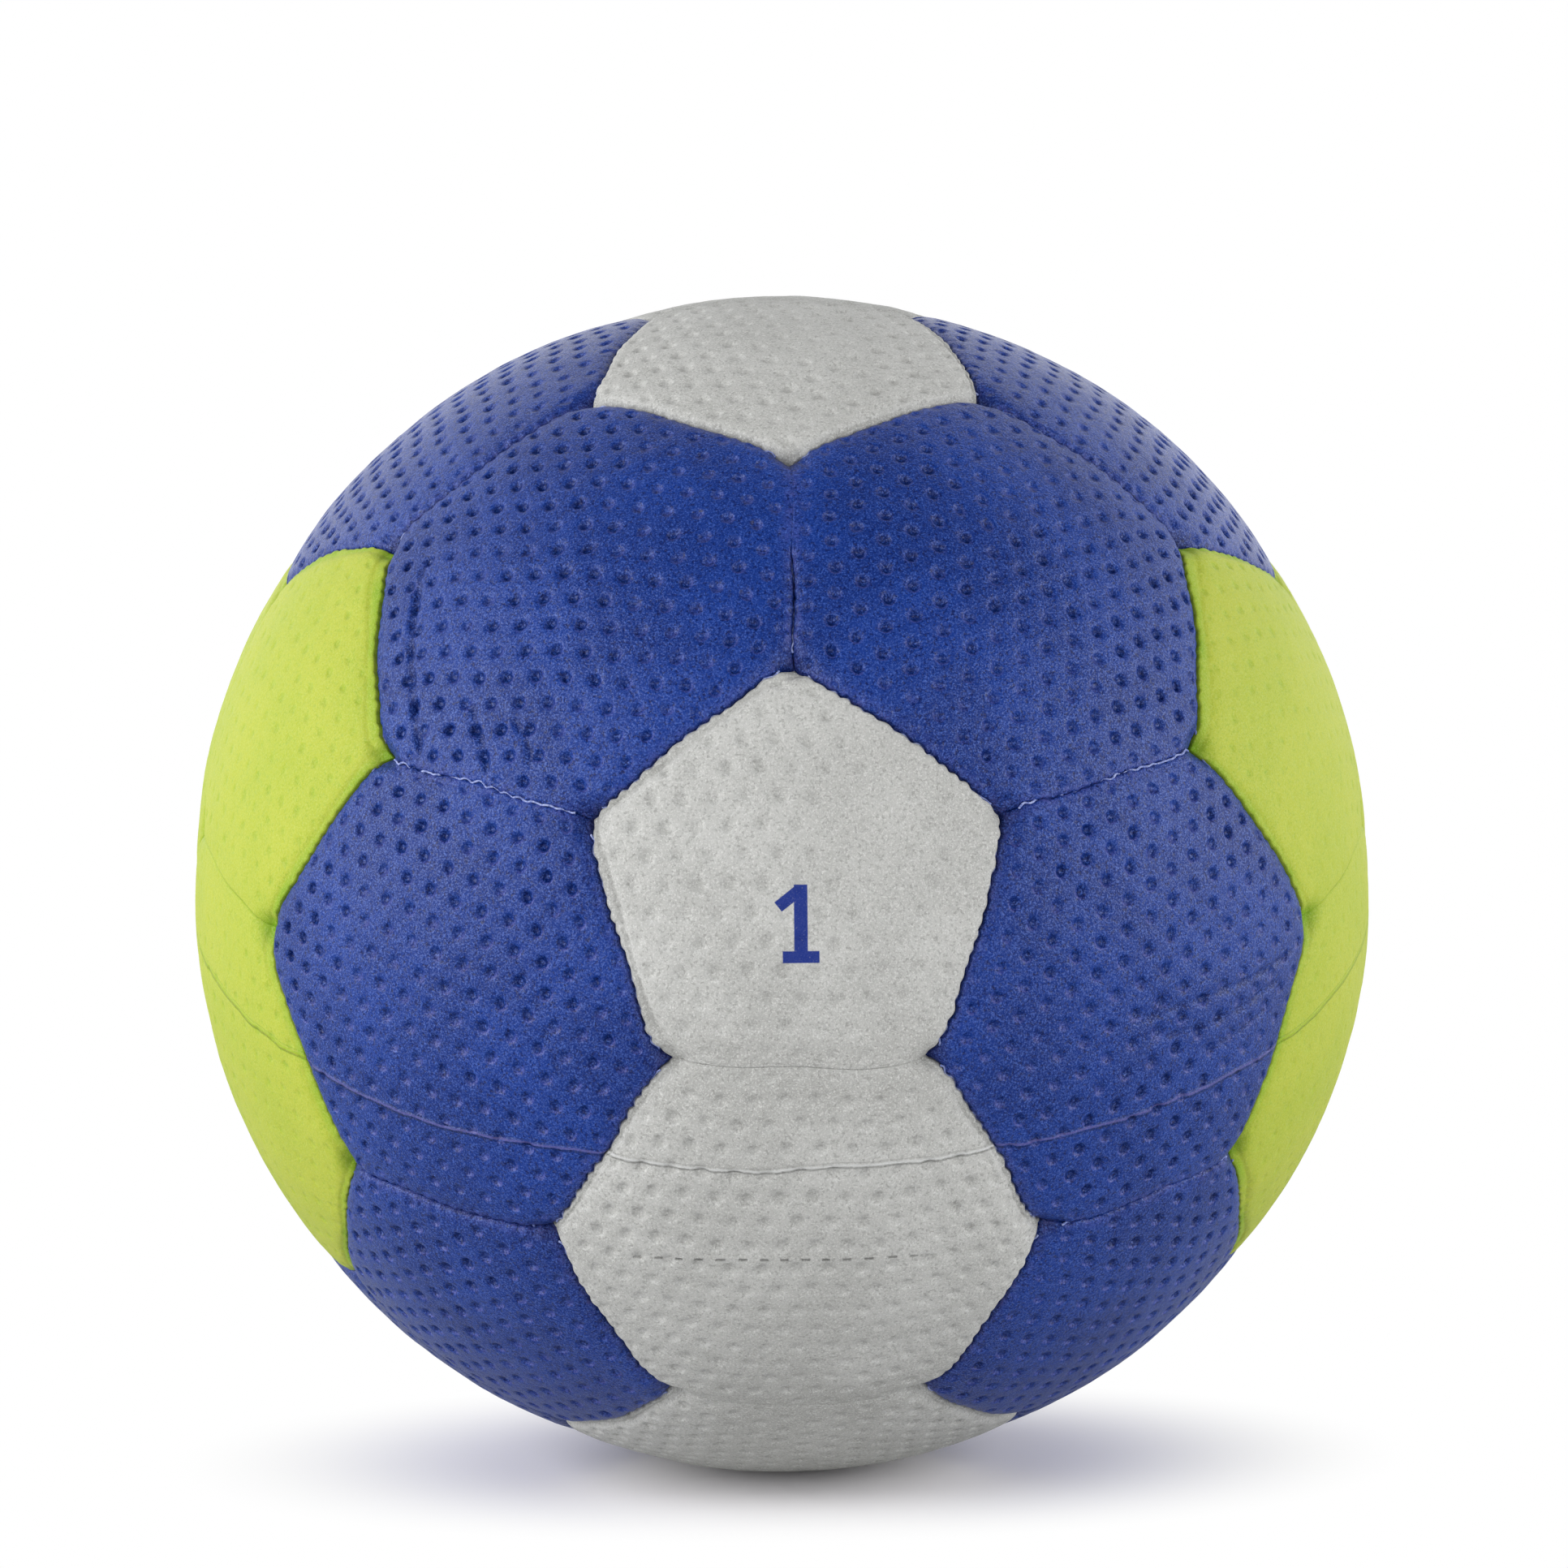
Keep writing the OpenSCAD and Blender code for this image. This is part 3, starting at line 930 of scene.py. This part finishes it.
def linear(r, g, b):
    """A linear colour from red, green and blue of 0 to 255 as a screen shows them."""
    shares = [c / 255 for c in (r, g, b)]
    return (*[c / 12.92 if c <= 0.04045 else ((c + 0.055) / 1.055) ** 2.4 for c in shares], 1.0)


# The crease that the packing's fold left runs round the whole ball, in a plane across this axis
CREASE_AXIS = (-0.007, -0.3371, 0.9414)
CREASE_HEIGHT = -0.3
CREASE_SWAY = 2.4

# The dashed crease: its level, its middle, half its length and its dashes, in mm, and their
# tone, a near black painted shade in the dashes' grooves
DASH_LEVEL = -40.2
DASH_MIDDLE = -2.5
DASH_HALF = 23.0
DASH_FADE = 9.0
DASH_PITCH = 2.7
DASH_SHADE = (0.08, 0.08, 0.07, 1.0)

# The plain size numeral: stem, flag and foot, by middle, turn in degrees and half sizes, in mm
NUMERAL_MIDDLE = (-0.3, -4.8)
NUMERAL_BARS = [
    (0.5, 0.35, 0.0, 0.85, 4.35),
    (-0.95, 3.0, 38.0, 1.75, 0.75),
    (0.5, -4.35, 0.0, 2.3, 0.75),
]
INK_EDGE = 0.06


def numeral(nodes):
    """Where a plain numeral one is printed: three bars on the front panel, 1 inside and 0 outside."""
    front = PANELS[0].place
    bars = []
    for x, y, turn, half_width, half_height in NUMERAL_BARS:
        c, s = cos(radians(turn)), sin(radians(turn))
        middle = np.array([x + NUMERAL_MIDDLE[0], y + NUMERAL_MIDDLE[1]])
        beyond = []
        for way, half in (([c, s], half_width), ([-s, c], half_height)):
            off = nodes.along(front @ np.array([*way, 0.0]), float(middle @ way))
            beyond.append(abs(off) - half)
        bars.append(nodes.most(*beyond).between(INK_EDGE, -INK_EDGE))
    return nodes.most(*bars)


def bowls(nodes, radius):
    """How far down a dimple a spot is, from 0 to 1, from its place on the panel's lattice."""
    spot = nodes.add("ShaderNodeAttribute", attribute_name="lattice").outputs["Vector"]
    away = []
    for shift in (0.0, 0.5):
        moved = nodes.vector("SUBTRACT", spot, (shift, shift, 0.0))
        wrapped = nodes.vector("WRAP", moved, (0.5, 0.5, 0.5), (-0.5, -0.5, -0.5))
        sized = nodes.vector("MULTIPLY", wrapped, (PIT_PITCH, 2 * PIT_ROW, 0.0))
        away.append(nodes.length(sized))
    nearest = away[0].step("MINIMUM", away[1])
    rim = nodes.number("ShaderNodeSeparateXYZ", spot, output="Z")
    return nearest.between(radius, 0.2 * radius) * rim


def dashes(nodes, wobble):
    """The dashes of the dashed crease, 1 on a dash and 0 beside it."""
    across = nodes.along((1, 0, 0), DASH_MIDDLE) + wobble
    front = nodes.along((0, -1, 0))
    off = abs(nodes.along((0, 0, 1), DASH_LEVEL) + wobble * 0.3)
    beat = (across * (2 * pi / DASH_PITCH)).step("SINE")
    dash = off.between(0.2, 0.07) * beat.between(0.1, 0.6)
    return dash * abs(across).between(DASH_HALF, DASH_HALF - DASH_FADE) * front.between(40.0, 45.0)


def suede(name, tones, shine, rough, fleck, grain, pit_shade, worn, pit, ink=None):
    """Suede-like microfibre: a nap of fine fibres with pale flecks. Painted shade lies in its
    folds at seams and corners, its dimples and wrinkles, its dashes and both sides of the crease's
    ridge, and a painted highlight on the ridge and on the dimples' walls that face the lamps.

    tones are its main and deep colours, its pale flecks, and a fourth for the painted highlights
    and the brushed nap at the seams; the deep colour is also the painted shade. A share paints
    the dimples' bottoms in shade, worn sets how strong the painted highlight on dimple walls and
    the brushed nap are, and pit is how deep in metres and how wide in mm the finish sharpens a
    dimple. Ink prints the numeral."""
    main, deep, pale, highlight_and_nap = (linear(*tone) for tone in tones)
    nodes = Finish(name)
    fibre = nodes.noise(4300.0, 2.0, 0.7)
    clump = nodes.noise(2300.0, 3.0, 0.65)
    cloud = nodes.noise(75.0, 3.0, 0.55)
    dimple = nodes.mark("dimple")
    tone = nodes.blend(cloud.between(0.35, 0.65, 0.0, 0.38 * fleck), main, deep)
    # Painted shade: dimples, wrinkles, seam folds and corners take the deep colour
    painted_pit_shade = dimple.between(0.25, 0.75, 0.0, pit_shade)
    # Darker near seams between two grey panels, varied by a cloud
    soiled = nodes.mark("soiled") * cloud.between(0.3, 0.7, 0.25, 0.5)
    hollow = nodes.most(painted_pit_shade, soiled, nodes.mark("fold"))
    tone = nodes.blend(hollow * 0.85, tone, deep)
    # Painted highlight on dimple walls facing the lamps; brushed nap at seams takes the same colour
    wall_highlight = dimple.between(0.03, 0.2) * dimple.between(0.6, 0.3)
    wall_highlight = wall_highlight * fibre.between(0.3, 0.6) * nodes.mark("nap")
    brushed = nodes.mark("brushed") * clump.between(0.35, 0.6)
    tone = nodes.blend(nodes.most(wall_highlight, brushed) * worn, tone, highlight_and_nap)
    tone = nodes.blend(fibre.between(0.48, 0.7, 0.0, fleck), tone, pale)
    tone = nodes.blend(clump.between(0.5, 0.32, 0.0, fleck), tone, deep)
    wobble = (cloud - 0.5) * CREASE_SWAY
    apart = abs(nodes.along(CREASE_AXIS, CREASE_HEIGHT) + wobble)
    # The crease's ridge is painted paler as a highlight, with painted shade in a band either side
    tone = nodes.blend(apart.between(0.26, 0.08) * 0.6, tone, highlight_and_nap)
    edge = apart.between(0.3, 0.42) * apart.between(0.6, 0.45)
    tone = nodes.blend(edge * 0.35, tone, deep)
    # The dashes are grooves, coloured near black as painted shade
    dash = dashes(nodes, wobble)
    tone = nodes.blend(dash * 0.6, tone, DASH_SHADE)
    if ink is not None:
        tone = nodes.blend(numeral(nodes) * fibre.between(0.2, 0.45, 0.75, 1.0), tone, ink)
    bowl = nodes.bump(bowls(nodes, pit[1]), 1.0, pit[0], invert=True)
    nap = nodes.bump(fibre * 0.6 + clump, grain, 0.0003, Normal=bowl)
    normal = nodes.bump(apart.between(0.5, 0.1) - dash, 0.8, 0.0003, Normal=nap)
    shone = fibre.between(0.42, 0.6, 0.5 * shine, 1.6 * shine)
    return nodes.done(tone, clump.between(0.3, 0.7, rough, rough + 0.12), normal, shone)


# Tones: main, deep (also the painted shade), pale, and the painted highlight and brushed nap
BLUE_TONES = [(18, 51, 129), (6, 18, 72), (52, 88, 172), (96, 92, 150)]
LIME_TONES = [(168, 177, 62), (96, 148, 6), (187, 198, 88), (136, 166, 36)]
GREY_TONES = [(183, 183, 180), (140, 140, 136), (214, 214, 211), (206, 207, 206)]
GREY = {"tones": GREY_TONES, "shine": 0.2, "rough": 0.6, "fleck": 0.65, "grain": 0.5, "worn": 0.2}
COVERS = {
    "blue": suede(
        "blue_suede", BLUE_TONES, shine=0.26, rough=0.3, fleck=0.9, grain=0.45, pit_shade=0.6,
        worn=0.45, pit=(0.0003, 1.05),
    ),
    "grey": suede("grey_suede", pit_shade=0.2, pit=(0.0002, 1.2), **GREY),
    "lime": suede(
        "lime_suede", LIME_TONES, shine=0.2, rough=0.5, fleck=0.3, grain=0.3, pit_shade=0.24,
        worn=0.1, pit=(0.00006, 0.9),
    ),
}
PRINTED = suede(
    "printed_grey_suede", pit_shade=0.15, pit=(0.0001, 1.2), ink=linear(24, 46, 124), **GREY
)

for number, panel in enumerate(PANELS):
    cover_panel(number, PRINTED if panel.name == "front_pentagon" else COVERS[panel.tint])


# Stitching


def thread_finish():
    """Twisted polyester thread, pale blue, with its ply and loose fibres."""
    nodes = Finish("stitching_thread")
    ply = nodes.noise(2600.0, 2.0, 0.5)
    cloud = nodes.noise(300.0, 2.0, 0.5)
    tone = nodes.blend(ply.between(0.35, 0.65), linear(96, 112, 176), linear(160, 170, 212))
    worn = nodes.blend(cloud.between(0.45, 0.7, 0.0, 0.4), tone, linear(84, 100, 166))
    return nodes.done(worn, ply.between(0.3, 0.7, 0.55, 0.8), nodes.bump(ply, 0.5, 0.0002))


THREAD = thread_finish()


def thread_run(number):
    """One run of stitching in its seam: a round tube along an arc in the seam's plane, which
    zigzags to both sides and dips at every stitch."""
    seam, manner = SEAMS[number], MANNERS[number]
    half = HALF_EDGE - THREAD_SHORT / BALL_R
    stitches = int(2 * half * EDGE_LEVEL / STITCH_PITCH)
    x = np.linspace(-half, half, stitches * THREAD_SAMPLES + 1)
    along = x * EDGE_LEVEL
    way = 2 * pi * along / STITCH_PITCH + 2 * manner.phase
    line = np.stack([along, along * 0, along * 0 + number], axis=1)
    lift = THREAD_RISE - THREAD_SINK * np.clip(soft_noise(line, *SINK_PATTERN), 0, 1)
    radius = EDGE_LEVEL - manner.thread_depth + lift - THREAD_DIP * np.cos(way)
    off = THREAD_ZIGZAG * np.sin(way) + slow_shift(manner, along) + scallop_shift(manner, along)
    arc = seam.mid * np.cos(x)[:, None] + seam.run * np.sin(x)[:, None]
    centre = arc * radius[:, None] - seam.inward * off[:, None]
    ahead = unit(np.gradient(centre, axis=0))
    up = unit(centre - ahead * np.sum(centre * ahead, axis=1, keepdims=True))
    side = np.cross(ahead, up)
    turn = np.linspace(0, 2 * pi, THREAD_SIDES, endpoint=False)
    ringed = (
        centre[:, None, :]
        + THREAD_R * np.cos(turn)[None, :, None] * up[:, None, :]
        + THREAD_R * np.sin(turn)[None, :, None] * side[:, None, :]
    )
    ids, beside, faces = wound(len(x), THREAD_SIDES)
    caps = [fan(beside[0], ids[0], ids.size), fan(ids[-1], beside[-1], ids.size + 1)]
    points = np.concatenate([ringed.reshape(-1, 3), centre[:1], centre[-1:]])
    return points, np.concatenate([faces, *caps])


def gather(parts):
    """Several point and face sets as one."""
    points, faces, start = [], [], 0
    for part_points, part_faces in parts:
        points.append(part_points)
        faces.append(part_faces + start)
        start += len(part_points)
    return np.concatenate(points), np.concatenate(faces)


HEXAGON_SEAMS = [
    n for n, seam in enumerate(SEAMS) if PANELS[seam.first].sides == PANELS[seam.second].sides == 6
]
PENTAGON_SEAMS = [n for n in range(len(SEAMS)) if n not in HEXAGON_SEAMS]

for shape, chosen in (("hexagon", HEXAGON_SEAMS), ("pentagon", PENTAGON_SEAMS)):
    runs = gather([thread_run(number) for number in chosen])
    stitching = make_piece(shape + "_seam_stitching", *runs, THREAD)
    stand_in(stitching, shape + "_seam_thread", "thread")


# Padding and lining


def layer(panel, outer, inner, inset, crown):
    """A curved pad of one panel: an outer and an inner face and a side between them.

    outer gives the outer face's level from the cosine of the angle to the panel's axis. Its last
    PAD_ROUND falls by the crown towards the side, as the root of the gap to it."""
    flat, quads = panel_mesh(panel, PAD_STEPS)
    shrink = 1 - inset / (BALL_R * tan(REACH[panel.sides]))
    shrunk = flat * shrink
    if panel.name == HOLED_PANEL:
        from_hole = np.linalg.norm(flat, axis=1, keepdims=True) * BALL_R - VALVE_HOLE_R
        shrunk = shrunk + flat * (1 - shrink) * np.exp(-(from_hole / PAD_ROUND))
    local, out = directions(shrunk, panel)
    gap = np.full(len(flat), 1e9)
    for mid, inward, run in edge_frames(panel):
        gap = np.minimum(gap, (out @ inward) * BALL_R - inset)
    rounded = crown * np.clip(gap / PAD_ROUND, 0, 1) ** 0.5
    top = out * (outer(local[:, 2]) - crown + rounded)[:, None]
    rim = rim_edges(quads)
    count = len(top)
    side = quads_of(rim[:, 1], rim[:, 0], rim[:, 0] + count, rim[:, 1] + count)
    return np.concatenate([top, out * inner]), np.concatenate([quads, quads[:, ::-1] + count, side])


def foam_finish():
    """Closed-cell foam: pale, with small round cells and a cloud of age."""
    nodes = Finish("foam")
    cell = nodes.number("ShaderNodeTexVoronoi", nodes.place, output="Distance", Scale=1400.0)
    cloud = nodes.noise(120.0, 3.0, 0.5)
    tone = nodes.blend(cell.between(0.1, 0.6), linear(196, 190, 168), linear(236, 231, 212))
    aged = nodes.blend(cloud.between(0.4, 0.7, 0.0, 0.4), tone, linear(222, 208, 168))
    return nodes.done(aged, cloud.between(0.3, 0.7, 0.75, 0.95), nodes.bump(cell, 0.6, 0.0004))


def cloth_finish():
    """Woven cotton backing: two sets of yarns crossing, with glue stains."""
    nodes = Finish("lining_cloth")
    warp, weft = (
        nodes.number(
            "ShaderNodeTexWave", nodes.place, output="Fac", wave_type="BANDS", bands_direction=way,
            Scale=520.0, Distortion=0.6,
        )
        for way in "XZ"
    )
    weave = nodes.most(warp, weft)
    cloud = nodes.noise(90.0, 3.0, 0.6)
    tone = nodes.blend(weave, linear(188, 184, 172), linear(238, 236, 228))
    stained = nodes.blend(cloud.between(0.5, 0.75, 0.0, 0.5), tone, linear(214, 200, 160))
    return nodes.done(stained, cloud.between(0.3, 0.7, 0.8, 0.95), nodes.bump(weave, 0.6, 0.0003))


def rubber_finish(name, main, worn, dust):
    """Moulded rubber: a fine matt skin with bloom and a few scuffs, from three levels of grey."""
    nodes = Finish(name)
    fine = nodes.noise(2200.0, 3.0, 0.6)
    cloud = nodes.noise(160.0, 4.0, 0.6)
    tone = nodes.blend(cloud.between(0.4, 0.7, 0.0, 0.6), linear(*main), linear(*worn))
    bloom = nodes.blend(fine.between(0.55, 0.75, 0.0, 0.35), tone, linear(*dust))
    return nodes.done(bloom, cloud.between(0.3, 0.7, 0.45, 0.75), nodes.bump(fine, 0.3, 0.0002))


FOAM = foam_finish()
CLOTH = cloth_finish()
PAD_CLEARANCE = 0.1
PAD_CROWN = 0.9
LINING_CROWN = 0.1
PAD_ROUND = 3.0


def under_skin(cosine):
    """The level of the foam pads' outer faces, below the skins and the glue."""
    return dome_level(cosine) - SKIN_T - GLUE_GAP - PAD_CLEARANCE


def layers(name, cad_node, slot, finish, sides, shape):
    """The layers of all panels with this number of sides, as one piece."""
    parts = [layer(panel, *shape) for panel in PANELS if panel.sides == sides]
    return stand_in(make_piece(name, *gather(parts), finish), cad_node, slot)


PAD_SHAPE = (under_skin, FOAM_IN, PAD_INSET + PAD_CLEARANCE, PAD_CROWN)
LINING_SHAPE = (lambda cosine: LINING_OUT, LINING_IN, PAD_INSET, LINING_CROWN)

for shape, sides in (("pentagon", 5), ("hexagon", 6)):
    pads = layers(f"{shape}_pads", f"{shape}_foam_pads", "foam", FOAM, sides, PAD_SHAPE)

for shape, sides, count in (("pentagon", 5, 12), ("hexagon", 6, 20)):
    cloths = layers(f"{shape}_lining_cloths", f"{shape}_linings", "lining", CLOTH, sides, LINING_SHAPE)
    reach = (LINING_OUT + LINING_IN) / 2 * REACH[sides] - PAD_INSET
    area = count * sides * reach**2 * tan(pi / sides) * MM**2
    width = 2.2 * reach * MM
    flat = (width, width * count)


# Bladder and valve

VALVE_PLACE = AS_IT_STANDS @ turn_x(pi)
MOULD_RING_HEIGHT = 0.1
MOULD_RING_WIDTH = 0.06
POLE_GAP = 0.004


def spun(profile, turns):
    """A closed profile of radius and height, carried round the valve's axis."""
    turn = np.linspace(0, 2 * pi, turns, endpoint=False)
    radius, height = profile[:, :1], profile[:, 1:]
    local = np.stack([radius * np.cos(turn), radius * np.sin(turn), height * np.ones(turns)], axis=-1)
    return local.reshape(-1, 3) @ VALVE_PLACE.T, wound(len(profile), turns, closed=True)[2]


def bladder_shape():
    """The bladder: a rubber ball with a hole for the valve. Its outer arc has six raised mould
    rings, and its profile runs from the hole over the far pole and back inside."""
    outer = np.linspace(asin(VALVE_HOLE_R / BLADDER_OUT), pi - POLE_GAP, 97)
    inner = np.linspace(pi - POLE_GAP, asin(VALVE_HOLE_R / BLADDER_IN), 65)
    ring_share = np.exp(-((np.abs(np.sin(3 * outer)) / MOULD_RING_WIDTH) ** 2))
    rise = MOULD_RING_HEIGHT * ring_share - MOULD_RING_HEIGHT
    level = np.concatenate([BLADDER_OUT + rise, np.full(len(inner), BLADDER_IN)])
    turn = np.concatenate([outer, inner])
    return spun(np.stack([level * np.sin(turn), level * np.cos(turn)], axis=1), 96)


BLADDER_RUBBER = rubber_finish("bladder_rubber", (44, 44, 46), (70, 70, 72), (110, 110, 112))
bladder = make_piece("bladder_ball", *bladder_shape(), BLADDER_RUBBER)
stand_in(bladder, "bladder", "bladder_rubber")

# The solids of the valve show themselves, each with a finish of three greys
VALVE_FINISHES = {
    "valve_patch": ("patch_rubber", (80, 80, 84), (104, 104, 108), (140, 140, 142)),
    "valve_body": ("valve_rubber", (52, 52, 56), (78, 78, 82), (130, 130, 132)),
    "valve_insert": ("insert_rubber", (188, 188, 184), (160, 160, 156), (214, 214, 212)),
}
for label, tones in VALVE_FINISHES.items():
    rubber = rubber_finish(*tones)
    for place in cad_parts[label].material_slots:
        place.material = rubber


# Floor, light and camera


def floor_finish():
    """A white floor: it takes shadows near the ball, and further off the camera sees plain white."""
    finish = bpy.data.materials.new("white_floor")
    finish.use_nodes = True
    nodes = Nodes(finish.node_tree)
    nodes.tree.nodes.remove(nodes.tree.nodes["Principled BSDF"])
    away = nodes.length(nodes.vector("MULTIPLY", nodes.place, (0.85, 1.35, 0.0)))
    far = away.between(0.03, 0.075)
    tone = nodes.blend(nodes.noise(900.0, 2.0, 0.5), (0.7, 0.7, 0.7, 1), (0.74, 0.74, 0.74, 1))
    plain = nodes.add("ShaderNodeBsdfDiffuse", tone)
    seen = nodes.add("ShaderNodeBsdfDiffuse", Color=(0.94, 0.92, 0.945, 1))
    white = nodes.add("ShaderNodeEmission", Strength=1.0)
    faded = nodes.add("ShaderNodeMixShader", far, seen.outputs[0], white.outputs[0])
    nodes.put(nodes.for_camera(faded, plain), nodes.tree.nodes["Material Output"].inputs["Surface"])
    return finish


FLOOR_RINGS = (5.0, 60.0, 160.0, 400.0, 1200.0, 4000.0)
FLOOR_TURNS = 64


def floor_shape():
    """A round floor: rings of points out from the spot that the ball stands on."""
    reach = np.array(FLOOR_RINGS)[:, None]
    turn = np.linspace(0, 2 * pi, FLOOR_TURNS, endpoint=False)
    x, y = reach * np.cos(turn), reach * np.sin(turn)
    points = np.stack([x, y, np.full_like(x, FLOOR_LEVEL)], axis=-1).reshape(-1, 3)
    ids, beside, faces = wound(len(reach), FLOOR_TURNS)
    upwards = faces[:, [0, 3, 2, 1]]
    points = np.concatenate([points, [[0.0, 0.0, FLOOR_LEVEL]]])
    return points, np.concatenate([upwards, fan(ids[0], beside[0], ids.size)])


floor = make_piece("floor", *floor_shape(), floor_finish(), smooth=False)


def stood(thing, name, axes, place):
    """Puts a light or camera in the scene, by its axes as columns and its place in metres."""
    stander = bpy.data.objects.new(name, thing)
    matrix = np.eye(4)
    matrix[:3, :3] = axes
    matrix[:3, 3] = place
    stander.matrix_world = Matrix(matrix.tolist())
    bpy.context.scene.collection.objects.link(stander)
    return stander


def soft_box(name, place, width, height, power):
    """A soft white light of this width and height in metres, facing the ball."""
    light = bpy.data.lights.new(name, "AREA")
    light.shape = "RECTANGLE"
    light.size = width
    light.size_y = height
    light.energy = power
    z = unit(np.array(place))
    x = unit(np.cross([0.0, 0.0, 1.0], z))
    stood(light, name, np.stack([x, np.cross(z, x), z], axis=1), place)


soft_box("left_soft_box", (-1.16, -0.42, 0.45), width=1.9, height=1.05, power=24.2)
soft_box("right_soft_box", (1.22, -0.33, 0.36), width=1.9, height=0.88, power=18.0)


def sky():
    """The room: a soft grey for light, and plain white where the camera looks past the floor."""
    world = bpy.data.worlds.new("studio")
    bpy.context.scene.world = world
    world.use_nodes = True
    nodes = Nodes(world.node_tree, "Generated")
    y, z = (nodes.number("ShaderNodeSeparateXYZ", nodes.place, output=axis) for axis in "YZ")
    front = y.between(-0.95, -0.4, 0.9, 0.3) * z.between(0.2, 0.6, 1.0, 0.4)
    back = y.between(0.25, 0.7, 0.0, 1.3) * z.between(0.65, 0.97, 1.0, 0.3)
    background = nodes.tree.nodes["Background"]
    background.inputs["Color"].default_value = (0.97, 0.98, 1.0, 1.0)
    nodes.put(front + back, background.inputs["Strength"])
    white = nodes.add("ShaderNodeBackground", Color=(1, 1, 1, 1), Strength=1.0)
    surface = nodes.tree.nodes["World Output"].inputs["Surface"]
    nodes.put(nodes.for_camera(white, background), surface)


sky()

# Camera, as the ball appears: its distance, by the ball's radius, its lens and sensor in mm, how
# the ball is turned round its own right, up and forward axes, and how the camera is aimed off it
CAMERA_DISTANCE = 10.02 * BALL_R
LENS = 134.8
SENSOR = 36.0
TURNED = np.radians([0.15, 1.49, 0.62])
PITCH_UP = radians(0.958)
YAW_LEFT = radians(-0.0198)


def turn_about(vector):
    """Turns round a vector by its length: the matrix of Rodrigues' formula."""
    angle = float(np.linalg.norm(vector))
    x, y, z = np.array(vector) / angle
    k = np.array([[0, -z, y], [z, 0, -x], [-y, x, 0]])
    return np.eye(3) + sin(angle) * k + (1 - cos(angle)) * k @ k


def camera():
    """The photograph's camera. Its axes are the ball's own, right, up and forward, turned back."""
    c, s = cos(FRONT_TILT), sin(FRONT_TILT)
    own = np.array([[1, 0, 0], [0, s, -c], [0, c, s]])
    axes = own @ turn_about(TURNED).T
    aimed = axes @ turn_x(PITCH_UP) @ turn_about([0, YAW_LEFT, 0])
    view = bpy.data.cameras.new("photo_camera")
    view.lens = LENS
    view.sensor_width = SENSOR
    view.sensor_fit = "HORIZONTAL"
    view.clip_start = 0.05
    view.clip_end = 50.0
    place = axes[:, 2] * CAMERA_DISTANCE * MM
    bpy.context.scene.camera = stood(view, "photo_camera", aimed, place)


camera()
bpy.context.scene.view_settings.view_transform = "Standard"
